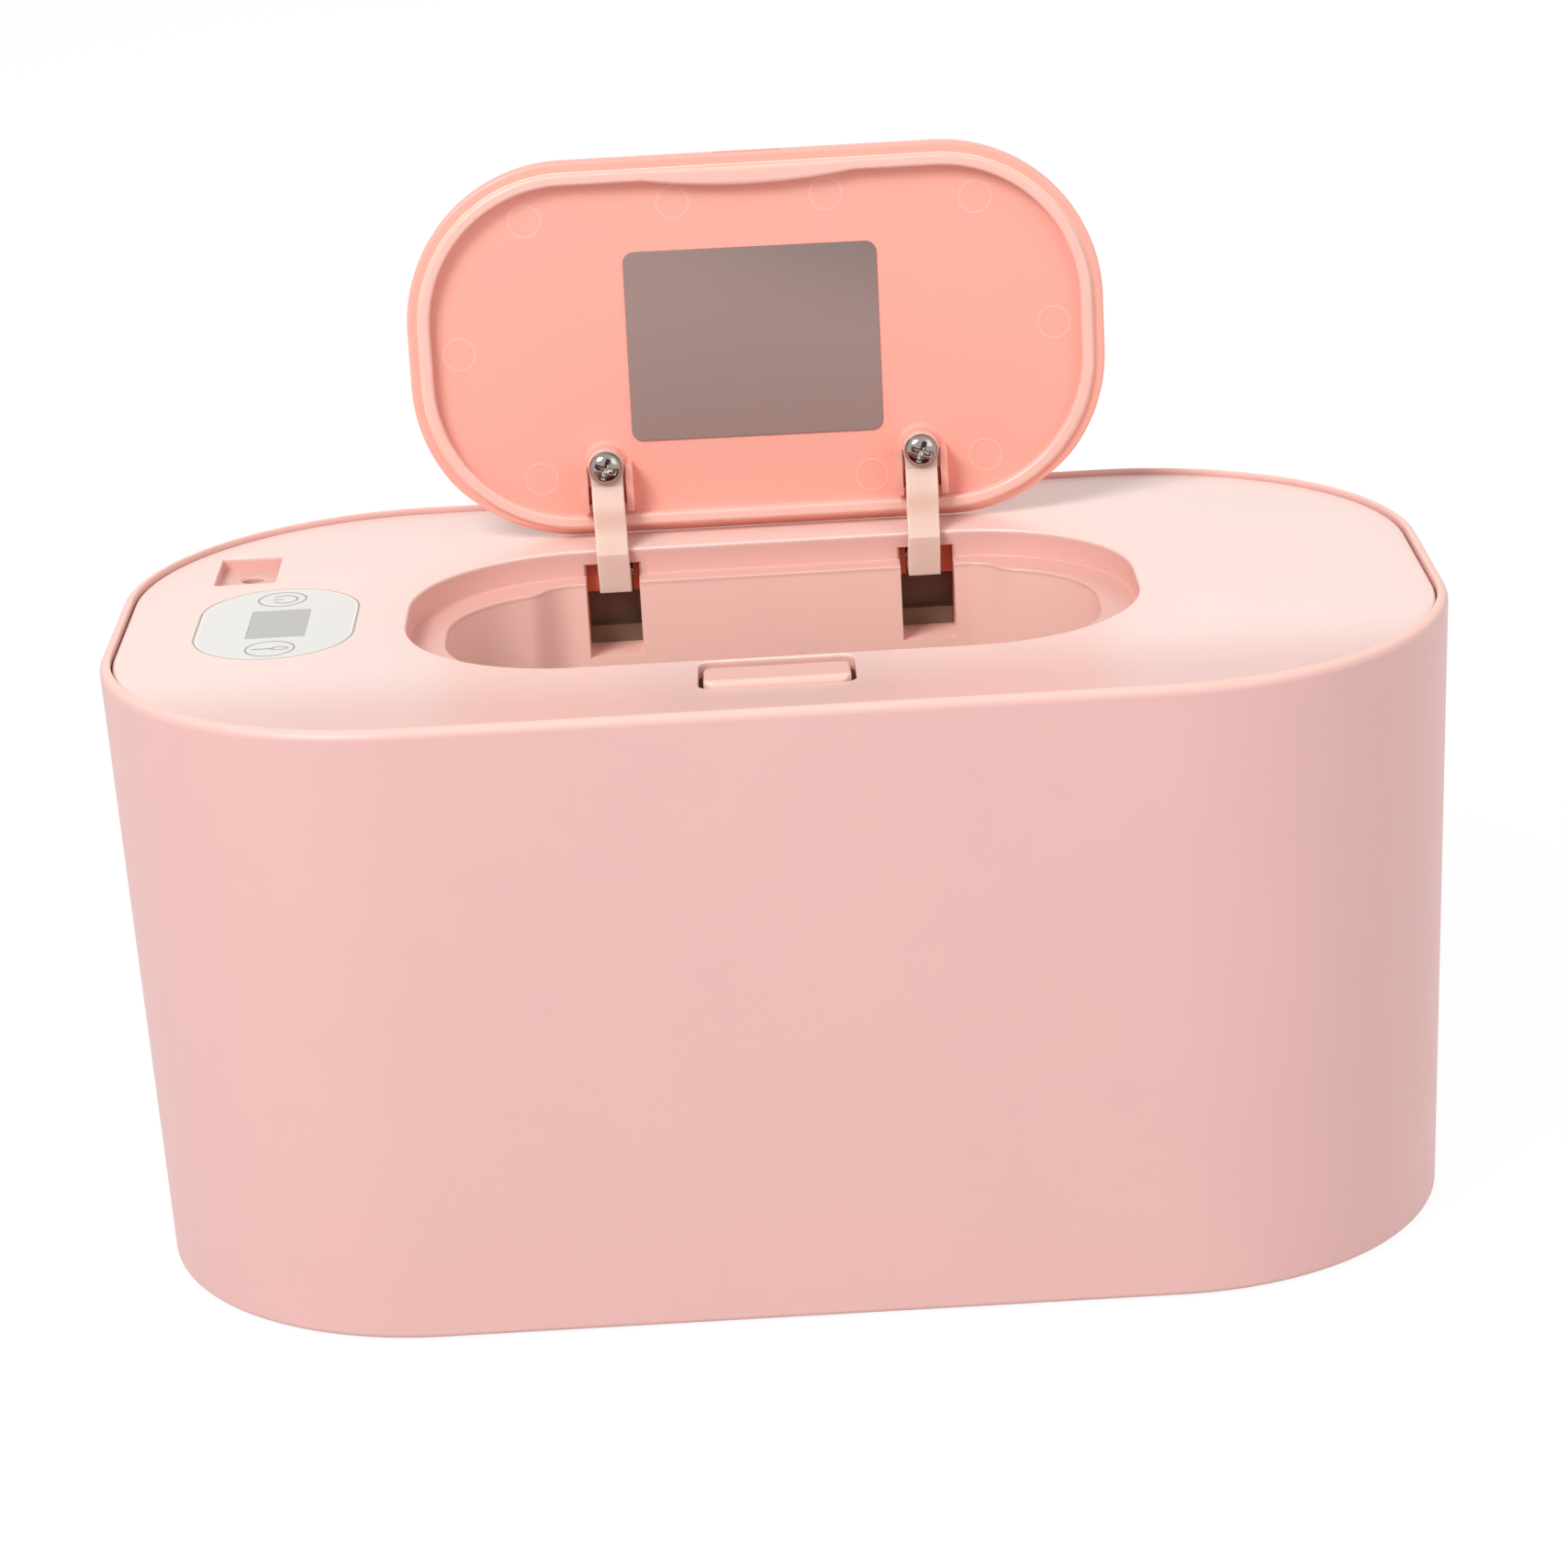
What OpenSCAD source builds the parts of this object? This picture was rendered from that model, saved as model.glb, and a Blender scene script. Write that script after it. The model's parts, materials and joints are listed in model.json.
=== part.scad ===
// Baby wipe warmer with a lift-out heated cover and a sprung pop-up lid.
// Origin: centre of the base. +X to the user's right, +Y to the back, +Z up.
// The rest pose is the lid standing open; it is drawn shut and then swung open.

/* [Tub] */
// Width of the tub at its rim
body_w = 230; // [215:1:250]
// Depth of the tub at its rim, front to back
body_d = 136; // [130:1:150]
// Height of the tub on its feet
body_h = 109.25; // [95:0.25:140]
// Radius of the rim's corners, seen from above
corner_r = 52.5; // [48:0.5:56]
// How far each side draws in from the rim to the base
draft = 2.8; // [0:0.1:4]
// Thickness of the tub's side wall
tub_wall = 2.2; // [1.6:0.1:3]
// Thickness of the tub's floor
tub_floor = 2.5; // [2.2:0.1:4]
// Thickness of the rim round the cover
rim_t = 1.8; // [1.4:0.1:2.4]
// Rounding of the rim's outer edge
rim_round = 1.6; // [0.5:0.1:1.8]
// Rounding of the base edge
base_round = 1; // [0.5:0.1:2.4]
// Width of the shoulder that carries the cover
shoulder_w = 2.5; // [1.5:0.1:3]
// Diameter of a rubber foot
foot_d = 12; // [8:0.5:16]
// Height of a foot below the floor
foot_h = 0.5; // [0.3:0.1:2]
// Distance of the feet from the tub's ends
foot_in_x = 35; // [32:1:45]
// Distance of the feet from the tub's front and back
foot_in_y = 26; // [24:1:34]

/* [Cover] */
// Depth of the deck below the rim
deck_drop = 1; // [0.5:0.05:3]
// Thickness of the deck
deck_t = 2.5; // [2.2:0.1:3]
// Rounding of the deck's outer edge
deck_edge = 0.5; // [0.2:0.1:1]
// Gap between the rim and the deck
rim_gap = 0.3; // [0.2:0.05:0.6]
// Height of the whole cover, from the deck down to the heating plate's face
cover_h = 29.2; // [28:0.1:34]
// Width of the recess that the lid closes into
recess_w = 127; // [122:0.5:130]
// Depth of that recess, front to back
recess_d = 70; // [68:0.5:72]
// Corner radius of the recess
recess_r = 30; // [25:0.5:33]
// Offset of the recess from the middle of the deck
recess_y = -0.8; // [-2:0.1:0.5]
// How far down the recess's shelf lies
recess_deep = 4.95; // [4.6:0.05:6]
// Thickness of the shelf
shelf_t = 2; // [1.5:0.1:2.5]
// Width of the shelf at the two ends
shelf_end = 6.4; // [5:0.1:8]
// Width of the shelf at the front
shelf_front = 13.3; // [12:0.1:14.5]
// Width of the shelf at the back corners
shelf_back = 8.5; // [7.5:0.1:10]
// Width of the shelf behind the bulge, between the hinge arms
shelf_bulge = 4.3; // [4:0.1:5.5]
// Corner radius of the chute
chute_r = 21; // [17:0.5:22.5]
// Half width of the straight part of the chute's bulge
bulge_half = 35.3; // [34.5:0.1:37]
// Radius of the two arcs of the S-bend at each side of the bulge
bend_r = 6.5; // [5:0.5:7]
// Wall of the chute and of the recess
chute_wall = 1.8; // [1.4:0.1:2.2]
// Wall of the under cover
under_wall = 1.8; // [1.4:0.1:2.4]
// Floor of the under cover
under_floor = 2; // [1.6:0.1:2.6]
// Gap between the under cover and the tub's shoulder
under_gap = 0.5; // [0.3:0.1:1]

/* [Heater] */
// Width of the aluminium heating plate
plate_w = 190; // [180:1:194]
// Depth of the heating plate
plate_d = 100; // [96:1:102]
// Corner radius of the heating plate
plate_r = 42; // [38:1:46]
// Thickness of the heating plate
plate_t = 1.5; // [1:0.1:2]
// Thickness of the film heater
film_t = 0.4; // [0.3:0.1:0.6]
// Thickness of the insulating pad
pad_t = 2; // [1.5:0.1:3]
// Margin from the plate's edge to the film and the pad
film_margin = 4; // [2:0.5:6]
// Diameter of the thermal cut-out
cutout_d = 9; // [7:0.5:10]

/* [Hinge] */
// How far the hinge axis lies behind the recess
hinge_back = 5.4; // [5.2:0.1:6]
// How far the hinge axis lies below the deck
hinge_drop = 5.6; // [5.5:0.1:6.2]
// Angle that the lid swings from shut to open
lid_open = 92.8; // [80:0.2:96]
// Diameter of the hinge shaft
shaft_d = 2; // [1.5:0.1:2.2]
// Running clearance of the shaft in the deck's lugs, on the radius
shaft_play = 0.05; // [0.03:0.01:0.1]
// Distance between the middles of the two arms
arm_span = 56.2; // [55:0.1:57]
// Width of an arm
arm_w = 5.8; // [5:0.1:6]
// Thickness of an arm
arm_t = 2.2; // [1.8:0.1:2.4]
// Distance from the hinge axis to the outer face of an arm
arm_offset = 8.6; // [8.4:0.1:9]
// Distance from the hinge axis to the screw
arm_reach = 19.2; // [18.8:0.1:20]
// How far an arm is cranked towards the lid on its way to the screw
arm_crank = 6.3; // [5.5:0.1:6.5]
// Radius of the arm's barrel on the shaft
barrel_r = 2; // [1.6:0.1:2.2]
// Distance between the middles of the two pockets
pocket_span = 57; // [56.5:0.1:57.5]
// Width of a pocket
pocket_w = 9.7; // [9.5:0.1:10.2]
// How far down a pocket's floor lies
pocket_deep = 19.1; // [17:0.1:21]
// How far down a pocket's roof lies
pocket_roof = 2.65; // [2.6:0.05:3]
// Wall of the pocket housings
pocket_wall = 1.5; // [1.2:0.1:2]
// Wire of the lid spring
lid_wire = 0.7; // [0.5:0.1:0.8]

/* [Lid] */
// Gap round the lid in the recess
lid_gap = 0.5; // [0.35:0.05:0.7]
// Thickness of the lid
lid_t = 1.9; // [1.6:0.1:2]
// Rounding of the lid's top edge
lid_edge = 0.6; // [0.3:0.1:1]
// Width of the lip round the lid
lip_w = 1.75; // [1.4:0.05:2]
// Height of the lip below the lid's inner face
lip_h = 1.45; // [1:0.05:1.6]
// Width of the silicone seal
seal_w = 2.1; // [1.6:0.1:2.2]
// Gap between the closed seal and the shelf
seal_gap = 0.35; // [0.3:0.05:0.6]
// How far the seal bulges inwards behind the catch
seal_bulge = 1.5; // [0.5:0.1:2]
// Half length of that bulge
seal_bulge_half = 19; // [14:1:20]
// Width of the bare label plate
label_w = 46; // [38:1:46]
// Depth of the label plate
label_d = 34.7; // [28:0.1:34.7]
// Thickness of the label plate
label_t = 0.3; // [0.2:0.05:0.5]
// Distance of the label's middle from the lid's middle, towards the hinge
label_back = 0.5; // [0:0.1:0.8]
// Width of the channel that holds an arm
channel_w = 9.5; // [9:0.1:10]
// Length of that channel
channel_l = 8.4; // [7:0.1:8.6]
// Wall of that channel
channel_wall = 1.3; // [1:0.05:1.4]
// Radius of the screw boss
screw_boss_r = 3.2; // [2.9:0.1:3.4]

/* [Release button] */
// Width of the button
button_w = 24.3; // [22:0.1:25]
// Depth of the button, front to back
button_d = 13.6; // [12:0.1:14.5]
// Gap at each side of the button
button_gap = 0.85; // [0.4:0.05:1]
// Wall between the button and the recess
button_wall = 1; // [0.9:0.05:1.2]
// How far the button's front edge stands above the deck
button_high = 1; // [0.5:0.1:1.5]
// How far its back edge lies below the deck
button_low = 0.8; // [0.3:0.1:1]
// How far the button is pressed
button_travel = 2; // [1.6:0.1:2.2]
// How far the latch draws back for each millimetre that the button is pressed
latch_ratio = 0.5; // [0.45:0.01:0.5]
// Thickness of the sprung steel latch
latch_t = 0.9; // [0.7:0.05:0.9]
// Width of the latch's nose
latch_w = 10; // [8:0.5:12]
// How far the key's side catches reach under the deck
key_catch = 0.6; // [0.4:0.1:0.8]
// How far the nose reaches over the lid's catch
latch_bite = 0.55; // [0.4:0.05:0.6]

/* [Control panel] */
// Width of the panel
panel_w = 28; // [26:0.5:30]
// Length of the panel, front to back
panel_l = 42; // [40:0.5:46]
// Thickness of the panel film
panel_t = 0.3; // [0.2:0.05:0.5]
// Distance of the panel's middle from the tub's end
panel_in = 28.7; // [28:0.1:30]
// Width of the display
lcd_w = 10.3; // [9:0.1:12]
// Length of the display
lcd_l = 16.4; // [14:0.1:18]
// Thickness of the display glass
lcd_t = 1.6; // [1.2:0.1:2]
// Distance of each touch key from the display's middle
key_off = 14.6; // [13.5:0.1:15.5]
// Thickness of the circuit board
board_t = 1.6; // [1:0.1:2]
// Height between the board and the deck
board_drop = 5.65; // [5:0.05:7]

/* [Power socket] */
// Width of the socket's recess
socket_w = 11; // [10:0.1:12]
// Length of the socket's recess
socket_l = 17.4; // [15:0.1:18]
// Depth of the socket's recess
socket_deep = 2.2; // [1.8:0.1:2.4]
// Distance of the socket from the tub's end
socket_in = 20.7; // [20:0.1:22]
// Distance of the socket from the tub's back
socket_back = 34.3; // [34:0.1:36]
// Diameter of the plug's hole
plug_d = 4; // [3.4:0.1:4.4]
// Diameter of the socket's centre pin
pin_d = 1.3; // [1:0.1:1.6]

/* [Hidden] */
$fn = 64;
eps = 0.01;
over = 1;              // how far a cut runs past the face that it opens
fit = 0.3;             // gap between pieces that move past each other
slip = 0.05;           // gap between a screw or post and its hole
seat = 0.3;            // gap under the cover where it rests

// Heights
deck_z = body_h - deck_drop;
deck_low = deck_z - deck_t;
shoulder_z = deck_low - seat;
shelf_z = deck_z - recess_deep;
shelf_low = shelf_z - shelf_t;
plate_z = deck_z - cover_h;
film_z = plate_z + plate_t;
pad_z = film_z + film_t;
under_z = pad_z + pad_t;
board_z = deck_low - board_drop - board_t;
plate_gap = 0.5;
chute_margin = 1.5;

// Plan of the cover
shoulder_t = 1.2;
foot_sink = 1;
rim_in = rim_t + rim_gap;
rim_flat = 0.1;
shoulder_in = rim_t + shoulder_w;
under_in = shoulder_in + under_gap;
recess_front = recess_y - recess_d / 2;
recess_back = recess_y + recess_d / 2;
chute_w = recess_w - 2 * shelf_end;
chute_front = recess_front + shelf_front;
chute_step = recess_back - shelf_back;
chute_back = recess_back - shelf_bulge;

// Hinge
hinge_y = recess_back + hinge_back;
hinge_z = deck_z - hinge_drop;
shaft_r = shaft_d / 2;
pocket_z = deck_z - pocket_deep;
pocket_top = deck_z - pocket_roof;
pocket_back = hinge_y + barrel_r + 2 * fit;
lug_y = hinge_y - barrel_r - fit;
lug_z = hinge_z - barrel_r - 1;
lid_spring_l = 12;
insert_t = 1.5;
insert_step = 2.8;
insert_step_h = 3.2;

// Lid, drawn shut
lid_w = recess_w - 2 * lid_gap;
lid_d = recess_d - 2 * lid_gap;
lid_r = recess_r - lid_gap;
lid_in_z = deck_z - lid_t;
lip_z = lid_in_z - lip_h;
seal_z = shelf_z + seal_gap;
arm_low = hinge_z - arm_offset;
arm_high = arm_low + arm_t;
pad_low = arm_low + arm_crank;
pad_high = pad_low + arm_t;
screw_y = hinge_y - arm_reach;
pad_end = screw_y + arm_w / 2 + 0.4;
crank_start = hinge_y - 5;
relief_gap = 0.15;
boss_gap = 0.6;
label_left = 0.5;
label_r = 2;
screw_head_r = 2.85;
screw_head_h = 1.7;
screw_r = 1.3;
lid_screw_l = 6;

// Release button and latch
well_back = recess_front - button_wall;
key_back_gap = 1.2;
button_back = well_back - key_back_gap;
button_front = button_back - button_d;
well_front = button_front - fit;
well_w = button_w + 2 * button_gap;
key_h = 5.5;
key_r = 1.8;
key_nose = 1.3;
button_low_z = deck_z - key_h;
latch_drop = 12;
latch_z = deck_z - latch_drop;
catch_t = 0.7;
catch_side = 1.2;
catch_z = lip_z + catch_t;
nose_z = catch_z + fit;
nose_h = 0.8;
latch_draw = button_travel * latch_ratio;
leg_y = button_back - 5;
slot_front = latch_draw;
slot_back = 1;
key_catch_l = 5;
latch_plate_w = well_w - 2;
leg_x = 7.5;
leg_w = 3;
leg_t = 2;
leg_under = 3.4;
leg_low = latch_z - leg_under;
spring_seat = leg_low - button_travel - 0.5;
spring_r = 2.2;
spring_wire = 0.5;
spring_room = 1;
spring_gap = 0.1;
housing_floor = 1.4;
housing_low = spring_seat - housing_floor;
housing_wall = 1.5;
housing_in = well_w / 2 + key_catch;
housing_back = recess_front + 1.3;
ear_w = 6;
ear_t = 2;
ear_drop = 4;

// Control panel and board
panel_x = -body_w / 2 + panel_in;
panel_y = recess_y + 0.2;
lcd_x = panel_x + 0.3;
lcd_y = panel_y - 0.3;
board_w = panel_w + 6;
board_l = panel_l + 2;
panel_bed = 0.05;
holder_rim = 1.2;
glass_rim = 1;
board_post_r = 2;
touch_r = 2.6;
touch_wire = 0.5;
board_hole_x = board_w / 2 - 2.6;
board_hole_y = board_l / 2 - 2.6;

// Power socket
socket_x = -body_w / 2 + socket_in;
socket_y = body_d / 2 - socket_back;
socket_z = deck_z - socket_deep;
socket_floor = 1.8;
plug_x = socket_x + 0.5;
plug_y = socket_y + 1.5;
plug_flare = 0.4;
jack_w = 9.4;
jack_h = 12;
jack_base = 2;
pin_down = 1;
jack_lead_gap = 2;
plug_lead_gap = 1.5;
sensor_lead_gap = 1.2;
jack_sag = 7;
plug_sag = 12;
lead_rise = 5;
jack_top = socket_z - socket_floor;

// Screws that close the cover
corner_spot = [body_w / 2 - 35, body_d / 2 - 20];
side_spot = [38, body_d / 2 - 11];
screw_spots = [for (spot = [corner_spot, side_spot], x = [-1, 1], y = [-1, 1])
    [x * spot[0], y * spot[1]]];
post_r = 4.2;
post_top = deck_low - 6.5;
head_seat = under_z + 9;
cover_bite = 5;
small_bite = 4;
hole_spare = 0.5;
cover_head_r = 2.7;
cover_head_h = 2;
cover_screw_r = 1.4;
small_screw_r = 1;
small_head_r = 1.9;
small_head_h = 1.5;

// Heater's sensor and cut-out, and the connectors that their leads run to
heater_x = panel_x + 12;
cutout_y = panel_y - 4;
cutout_h = 3.5;
cutout_cap = 1.5;
cutout_top = film_z + film_t + cutout_h + cutout_cap;
thermistor_y = panel_y + 8;
thermistor_d = 2.4;
thermistor_l = 5;
thermistor_z = film_z + film_t + thermistor_d / 2;
chip_w = 9;
chip_t = 1.3;
lead_hole_w = 12;
lead_hole_l = 26;
plugs_x = panel_x + 8;
plugs_y = [for (k = [-1:1]) panel_y + 10 * k];
plug_size = [7.5, 6, 5];
plug_well = [6, 4, 3];
lead_end = board_z - plug_size[2] + plug_well[2];
power_lead_d = 1.4;
sensor_lead_d = 0.8;

pink = "#f4bfb6";
deep_pink = "#f7ad9c";
milky = "#ecd0c2";
dark = "#4a4542";
metal = "#b9bcc0";
white = "#eceae5";
lead_red = "#b02020";

// ---- shared shapes ----

// A rectangle with round corners
module rounded(w, d, r) {
    square([w - 2 * r, d], center = true);
    square([w, d - 2 * r], center = true);
    for (x = [-1, 1], y = [-1, 1]) translate([x * (w / 2 - r), y * (d / 2 - r)]) circle(r);
}

// The tub's outline at its rim, drawn in by a distance
module tub_outline(inset) {
    rounded(body_w - 2 * inset, body_d - 2 * inset, corner_r - inset);
}

// Carries a half profile, measured out from the corner's centre, round such a rectangle,
// and fills the middle from one height to the next
module sweep_round(w, d, r, low, high) {
    cx = w / 2 - r;
    cy = d / 2 - r;
    translate([-cx, -cy, low]) cube([2 * cx, 2 * cy, high - low]);
    corners = [[1, 1, 0], [-1, 1, 90], [-1, -1, 180], [1, -1, 270]];
    for (c = corners) translate([c[0] * cx, c[1] * cy, 0]) rotate(c[2])
        rotate_extrude(angle = 90) children();
    for (turn = [0, 180]) rotate(turn) {
        translate([-cx, cy, 0]) rotate([90, 0, 90]) linear_extrude(2 * cx) children();
        translate([cx, cy, 0]) rotate([90, 0, 0]) linear_extrude(2 * cy) children();
    }
}

// Points of a quarter circle from one angle to the next
function arc(x, z, r, from, to, steps = 4) =
    [for (i = [0:steps]) let (a = from + (to - from) * i / steps) [x + r * cos(a), z + r * sin(a)]];

// Centre of a circle of radius r that touches two circles from outside, to the right of a to b
function touching(a, ra, b, rb, r) =
    let (d = norm(b - a), u = (b - a) / d, da = ra + r, db = rb + r,
         along = (da * da - db * db + d * d) / (2 * d))
    a + along * u + sqrt(da * da - along * along) * [u[1], -u[0]];

// The chute's outline, let out by a distance: a round-cornered box with a bulge at the back.
// At each side of the bulge a hollow arc joins the bulge's corner to the box's corner.
module chute_outline(out) {
    low = chute_front + chute_r;
    mid = (chute_front + chute_step) / 2;
    corner = [chute_w / 2 - chute_r, chute_step - chute_r];
    bulge = [bulge_half, chute_back - bend_r];
    hollow = touching(corner, chute_r, bulge, bend_r, bend_r);
    translate([0, mid]) rounded(chute_w + 2 * out, chute_step - chute_front + 2 * out, chute_r + out);
    translate([-bulge_half, low]) square([2 * bulge_half, chute_back + out - low]);
    for (side = [0, 1]) mirror([side, 0]) {
        translate(bulge) circle(bend_r + out);
        difference() {
            polygon([[0, low], [0, bulge[1]], bulge, hollow, corner, [corner[0], low]]);
            translate(hollow) circle(bend_r - out + eps);
        }
    }
}

// A block with a round-cornered plan
module slab(w, d, r, z, h) {
    translate([0, 0, z]) linear_extrude(h) rounded(w, d, r);
}

// A screw with its head below and its tip up
module screw_up(head_r, head_h, shank_r, length) {
    translate([0, 0, -head_h]) cylinder(r = head_r, h = head_h);
    translate([0, 0, -eps]) cylinder(r = shank_r, h = length + eps);
}

// A tube of round section along a route, whose first side faces away from up
function unit(v) = v / norm(v);
function heading(p, i) =
    unit((i == 0 ? unit(p[1] - p[0]) : unit(p[i] - p[i - 1]))
       + (i == len(p) - 1 ? unit(p[i] - p[i - 1]) : unit(p[i + 1] - p[i])));
function side_of(t, up) = unit(cross(t, up));

module tube(p, d, up, sides = 8) {
    rings = [for (i = [0:len(p) - 1])
        let (t = heading(p, i), u = side_of(t, up), v = cross(t, u))
        for (k = [0:sides - 1]) p[i] + d / 2 * (cos(360 * k / sides) * u + sin(360 * k / sides) * v)];
    n = len(p) * sides;
    walls = [for (i = [0:len(p) - 2], k = [0:sides - 1])
        let (a = i * sides + k, b = i * sides + (k + 1) % sides)
        [[a, b, b + sides], [a, b + sides, a + sides]]];
    faces = concat([for (w = walls) w[0]], [for (w = walls) w[1]],
                   [[for (k = [sides - 1:-1:0]) k]], [[for (k = [0:sides - 1]) n - sides + k]]);
    polyhedron(rings, faces);
}

// A coil spring about +Z, of one unbroken wire
module coil(r, wire, h, turns) {
    steps = 10;
    rise = h - wire;
    tube([for (i = [0:turns * steps]) let (a = 360 * i / steps)
        [r * cos(a), r * sin(a), wire / 2 + rise * i / (turns * steps)]], wire, [0, 0, 1], 6);
}

// Two leads side by side on one smooth curve, which leaves a and reaches b along Z
module leads(a, b, apart_a, apart_b, leave, reach, d) {
    up = unit(cross(b - a, [0, 0, 1]));
    steps = 16;
    straight = 0.04;
    for (side = [-1, 1]) {
        p = a + side * apart_a;
        q = b + side * apart_b;
        bend = [for (i = [1:steps - 1]) let (t = i / steps, s = 1 - t)
            s * s * s * p + 3 * s * s * t * (p + [0, 0, leave])
            + 3 * s * t * t * (q - [0, 0, reach]) + t * t * t * q];
        tube(concat([p, p + [0, 0, straight * leave]], bend, [q - [0, 0, straight * reach], q]), d, up);
    }
}

// Swings the lid's pieces from shut to open about the hinge
module swing_open() {
    translate([0, hinge_y, hinge_z]) rotate([-lid_open, 0, 0])
        translate([0, -hinge_y, -hinge_z]) children();
}

// ---- tub ----

module tub_profile() {
    top = corner_r;
    base = corner_r - draft;
    slope = draft / (body_h - foot_h);
    inner = function(z) base + slope * (z - foot_h) - tub_wall;
    edge = min(rim_round, rim_t - rim_flat);
    rest = top - shoulder_in;
    under = shoulder_z - shoulder_t;
    foot_of = under - (inner(under) - rest);
    polygon(concat([[0, foot_h]],
        arc(base - base_round, foot_h + base_round, base_round, -90, 0),
        arc(top - edge, body_h - edge, edge, 0, 90),
        [[top - rim_t, body_h], [top - rim_t, shoulder_z], [rest, shoulder_z], [rest, under],
         [inner(foot_of), foot_of], [inner(foot_h + tub_floor), foot_h + tub_floor],
         [0, foot_h + tub_floor]]));
}

module at_foot(side, end) {
    translate([side * (body_w / 2 - foot_in_x), end * (body_d / 2 - foot_in_y), 0]) children();
}

module outer_tub() {
    color(pink) difference() {
        sweep_round(body_w, body_d, corner_r, foot_h, foot_h + tub_floor) tub_profile();
        for (side = [-1, 1], end = [-1, 1]) at_foot(side, end)
            translate([0, 0, foot_h - eps]) cylinder(d = foot_d + 2 * slip, h = foot_sink + eps);
    }
}

module foot(side, end) {
    color(dark) at_foot(side, end) cylinder(d = foot_d, h = foot_h + foot_sink);
}

// ---- cover ----

module deck_profile() {
    r = corner_r - rim_in;
    polygon(concat([[0, deck_low], [r, deck_low]],
        arc(r - deck_edge, deck_z - deck_edge, deck_edge, 0, 90, 3), [[0, deck_z]]));
}

module at_pocket(side) {
    translate([side * pocket_span / 2, 0, 0]) children();
}

module top_deck() {
    color(pink) difference() {
        union() {
            sweep_round(body_w, body_d, corner_r, deck_low, deck_z) deck_profile();
            translate([0, recess_y, 0])
                slab(recess_w + 2 * chute_wall, recess_d + 2 * chute_wall, recess_r + chute_wall,
                     shelf_low, deck_low - shelf_low + eps);
            translate([0, 0, plate_z]) linear_extrude(shelf_low - plate_z + eps) chute_outline(chute_wall);
            for (side = [-1, 1]) at_pocket(side)
                translate([-pocket_w / 2 - pocket_wall, chute_back, pocket_z - pocket_wall])
                    cube([pocket_w + 2 * pocket_wall, pocket_back + insert_t - chute_back,
                          deck_low - pocket_z + pocket_wall + eps]);
            translate([0, 0, jack_top]) linear_extrude(deck_low - jack_top + eps) intersection() {
                translate([socket_x, socket_y])
                    square([socket_w + 2 * socket_floor, socket_l + 2 * socket_floor], center = true);
                tub_outline(under_in + under_wall + fit);
            }
            for (p = screw_spots) translate([p[0], p[1], post_top])
                cylinder(r = post_r, h = deck_low - post_top + eps);
            board_spots() translate([0, 0, board_z + board_t])
                cylinder(r = board_post_r, h = board_drop + eps);
            ear_spots() translate([0, 0, deck_low - ear_drop]) cylinder(r = ear_w / 2, h = ear_drop + eps);
        }
        translate([0, recess_y, 0]) slab(recess_w, recess_d, recess_r, shelf_z, deck_z);
        translate([0, 0, plate_z - over]) linear_extrude(deck_z) chute_outline(0);
        for (side = [-1, 1]) pocket_cut(side);
        shaft_hole();
        well_cut();
        socket_cut();
        panel_cut();
        for (p = screw_spots) translate([p[0], p[1], post_top - eps])
            cylinder(r = cover_screw_r + slip, h = cover_bite + hole_spare);
        board_spots() translate([0, 0, board_z + board_t - eps])
            cylinder(r = small_screw_r + slip, h = small_bite + hole_spare);
        ear_spots() translate([0, 0, deck_low - ear_drop - eps])
            cylinder(r = small_screw_r + slip, h = small_bite + hole_spare);
    }
}

// A hinge pocket, with a lug left standing at each side of the arm
module pocket_cut(side) {
    arm_shift = side * (arm_span - pocket_span) / 2;
    slot = arm_w + 2 * fit;
    at_pocket(side) {
        translate([-pocket_w / 2, recess_y, pocket_z])
            cube([pocket_w, lug_y - recess_y, pocket_top - pocket_z]);
        translate([-pocket_w / 2, recess_y, pocket_z])
            cube([pocket_w, pocket_back + insert_t - recess_y, lug_z - pocket_z]);
        translate([arm_shift - slot / 2, recess_y, pocket_z])
            cube([slot, pocket_back - recess_y, pocket_top - pocket_z]);
    }
}

module shaft_hole() {
    long = pocket_span + pocket_w + 2 * pocket_wall + over;
    translate([-long / 2, hinge_y, hinge_z]) rotate([0, 90, 0])
        cylinder(r = shaft_r + shaft_play, h = long);
}

// The button's well, and the slot in the recess wall that the latch stands in
module well_cut() {
    translate([-well_w / 2, well_front, shelf_low - over])
        cube([well_w, well_back - well_front, deck_z]);
    slot_w = latch_w + 2 * fit;
    translate([-slot_w / 2, well_back - slot_front, shelf_low - over])
        cube([slot_w, slot_front + button_wall + slot_back, nose_z + nose_h + fit - shelf_low + over]);
}

module socket_cut() {
    translate([socket_x, socket_y, socket_z]) linear_extrude(deck_z) rounded(socket_w, socket_l, 0.6);
    translate([plug_x, plug_y, jack_top - eps]) cylinder(d = plug_d, h = socket_floor + over);
    translate([plug_x, plug_y, socket_z - plug_flare])
        cylinder(d1 = plug_d, d2 = plug_d + 2 * plug_flare, h = plug_flare + eps);
}

module at_panel() {
    translate([panel_x, panel_y, 0]) children();
}

// The panel's outline: two half circles joined by straight sides
module panel_outline(inset) {
    r = panel_w / 2 - inset;
    straight = panel_l - panel_w;
    square([2 * r, straight], center = true);
    for (end = [-1, 1]) translate([0, end * straight / 2]) circle(r);
}

module panel_cut() {
    at_panel() translate([0, 0, deck_z - panel_t]) linear_extrude(deck_z) panel_outline(-panel_bed);
    translate([lcd_x, lcd_y, deck_low - over]) linear_extrude(deck_z)
        square([lcd_w, lcd_l], center = true);
}

module board_spots() {
    for (s = [[-1, 1], [1, 1], [1, -1]])
        translate([panel_x + s[0] * board_hole_x, panel_y + s[1] * board_hole_y, 0]) children();
}

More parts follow.
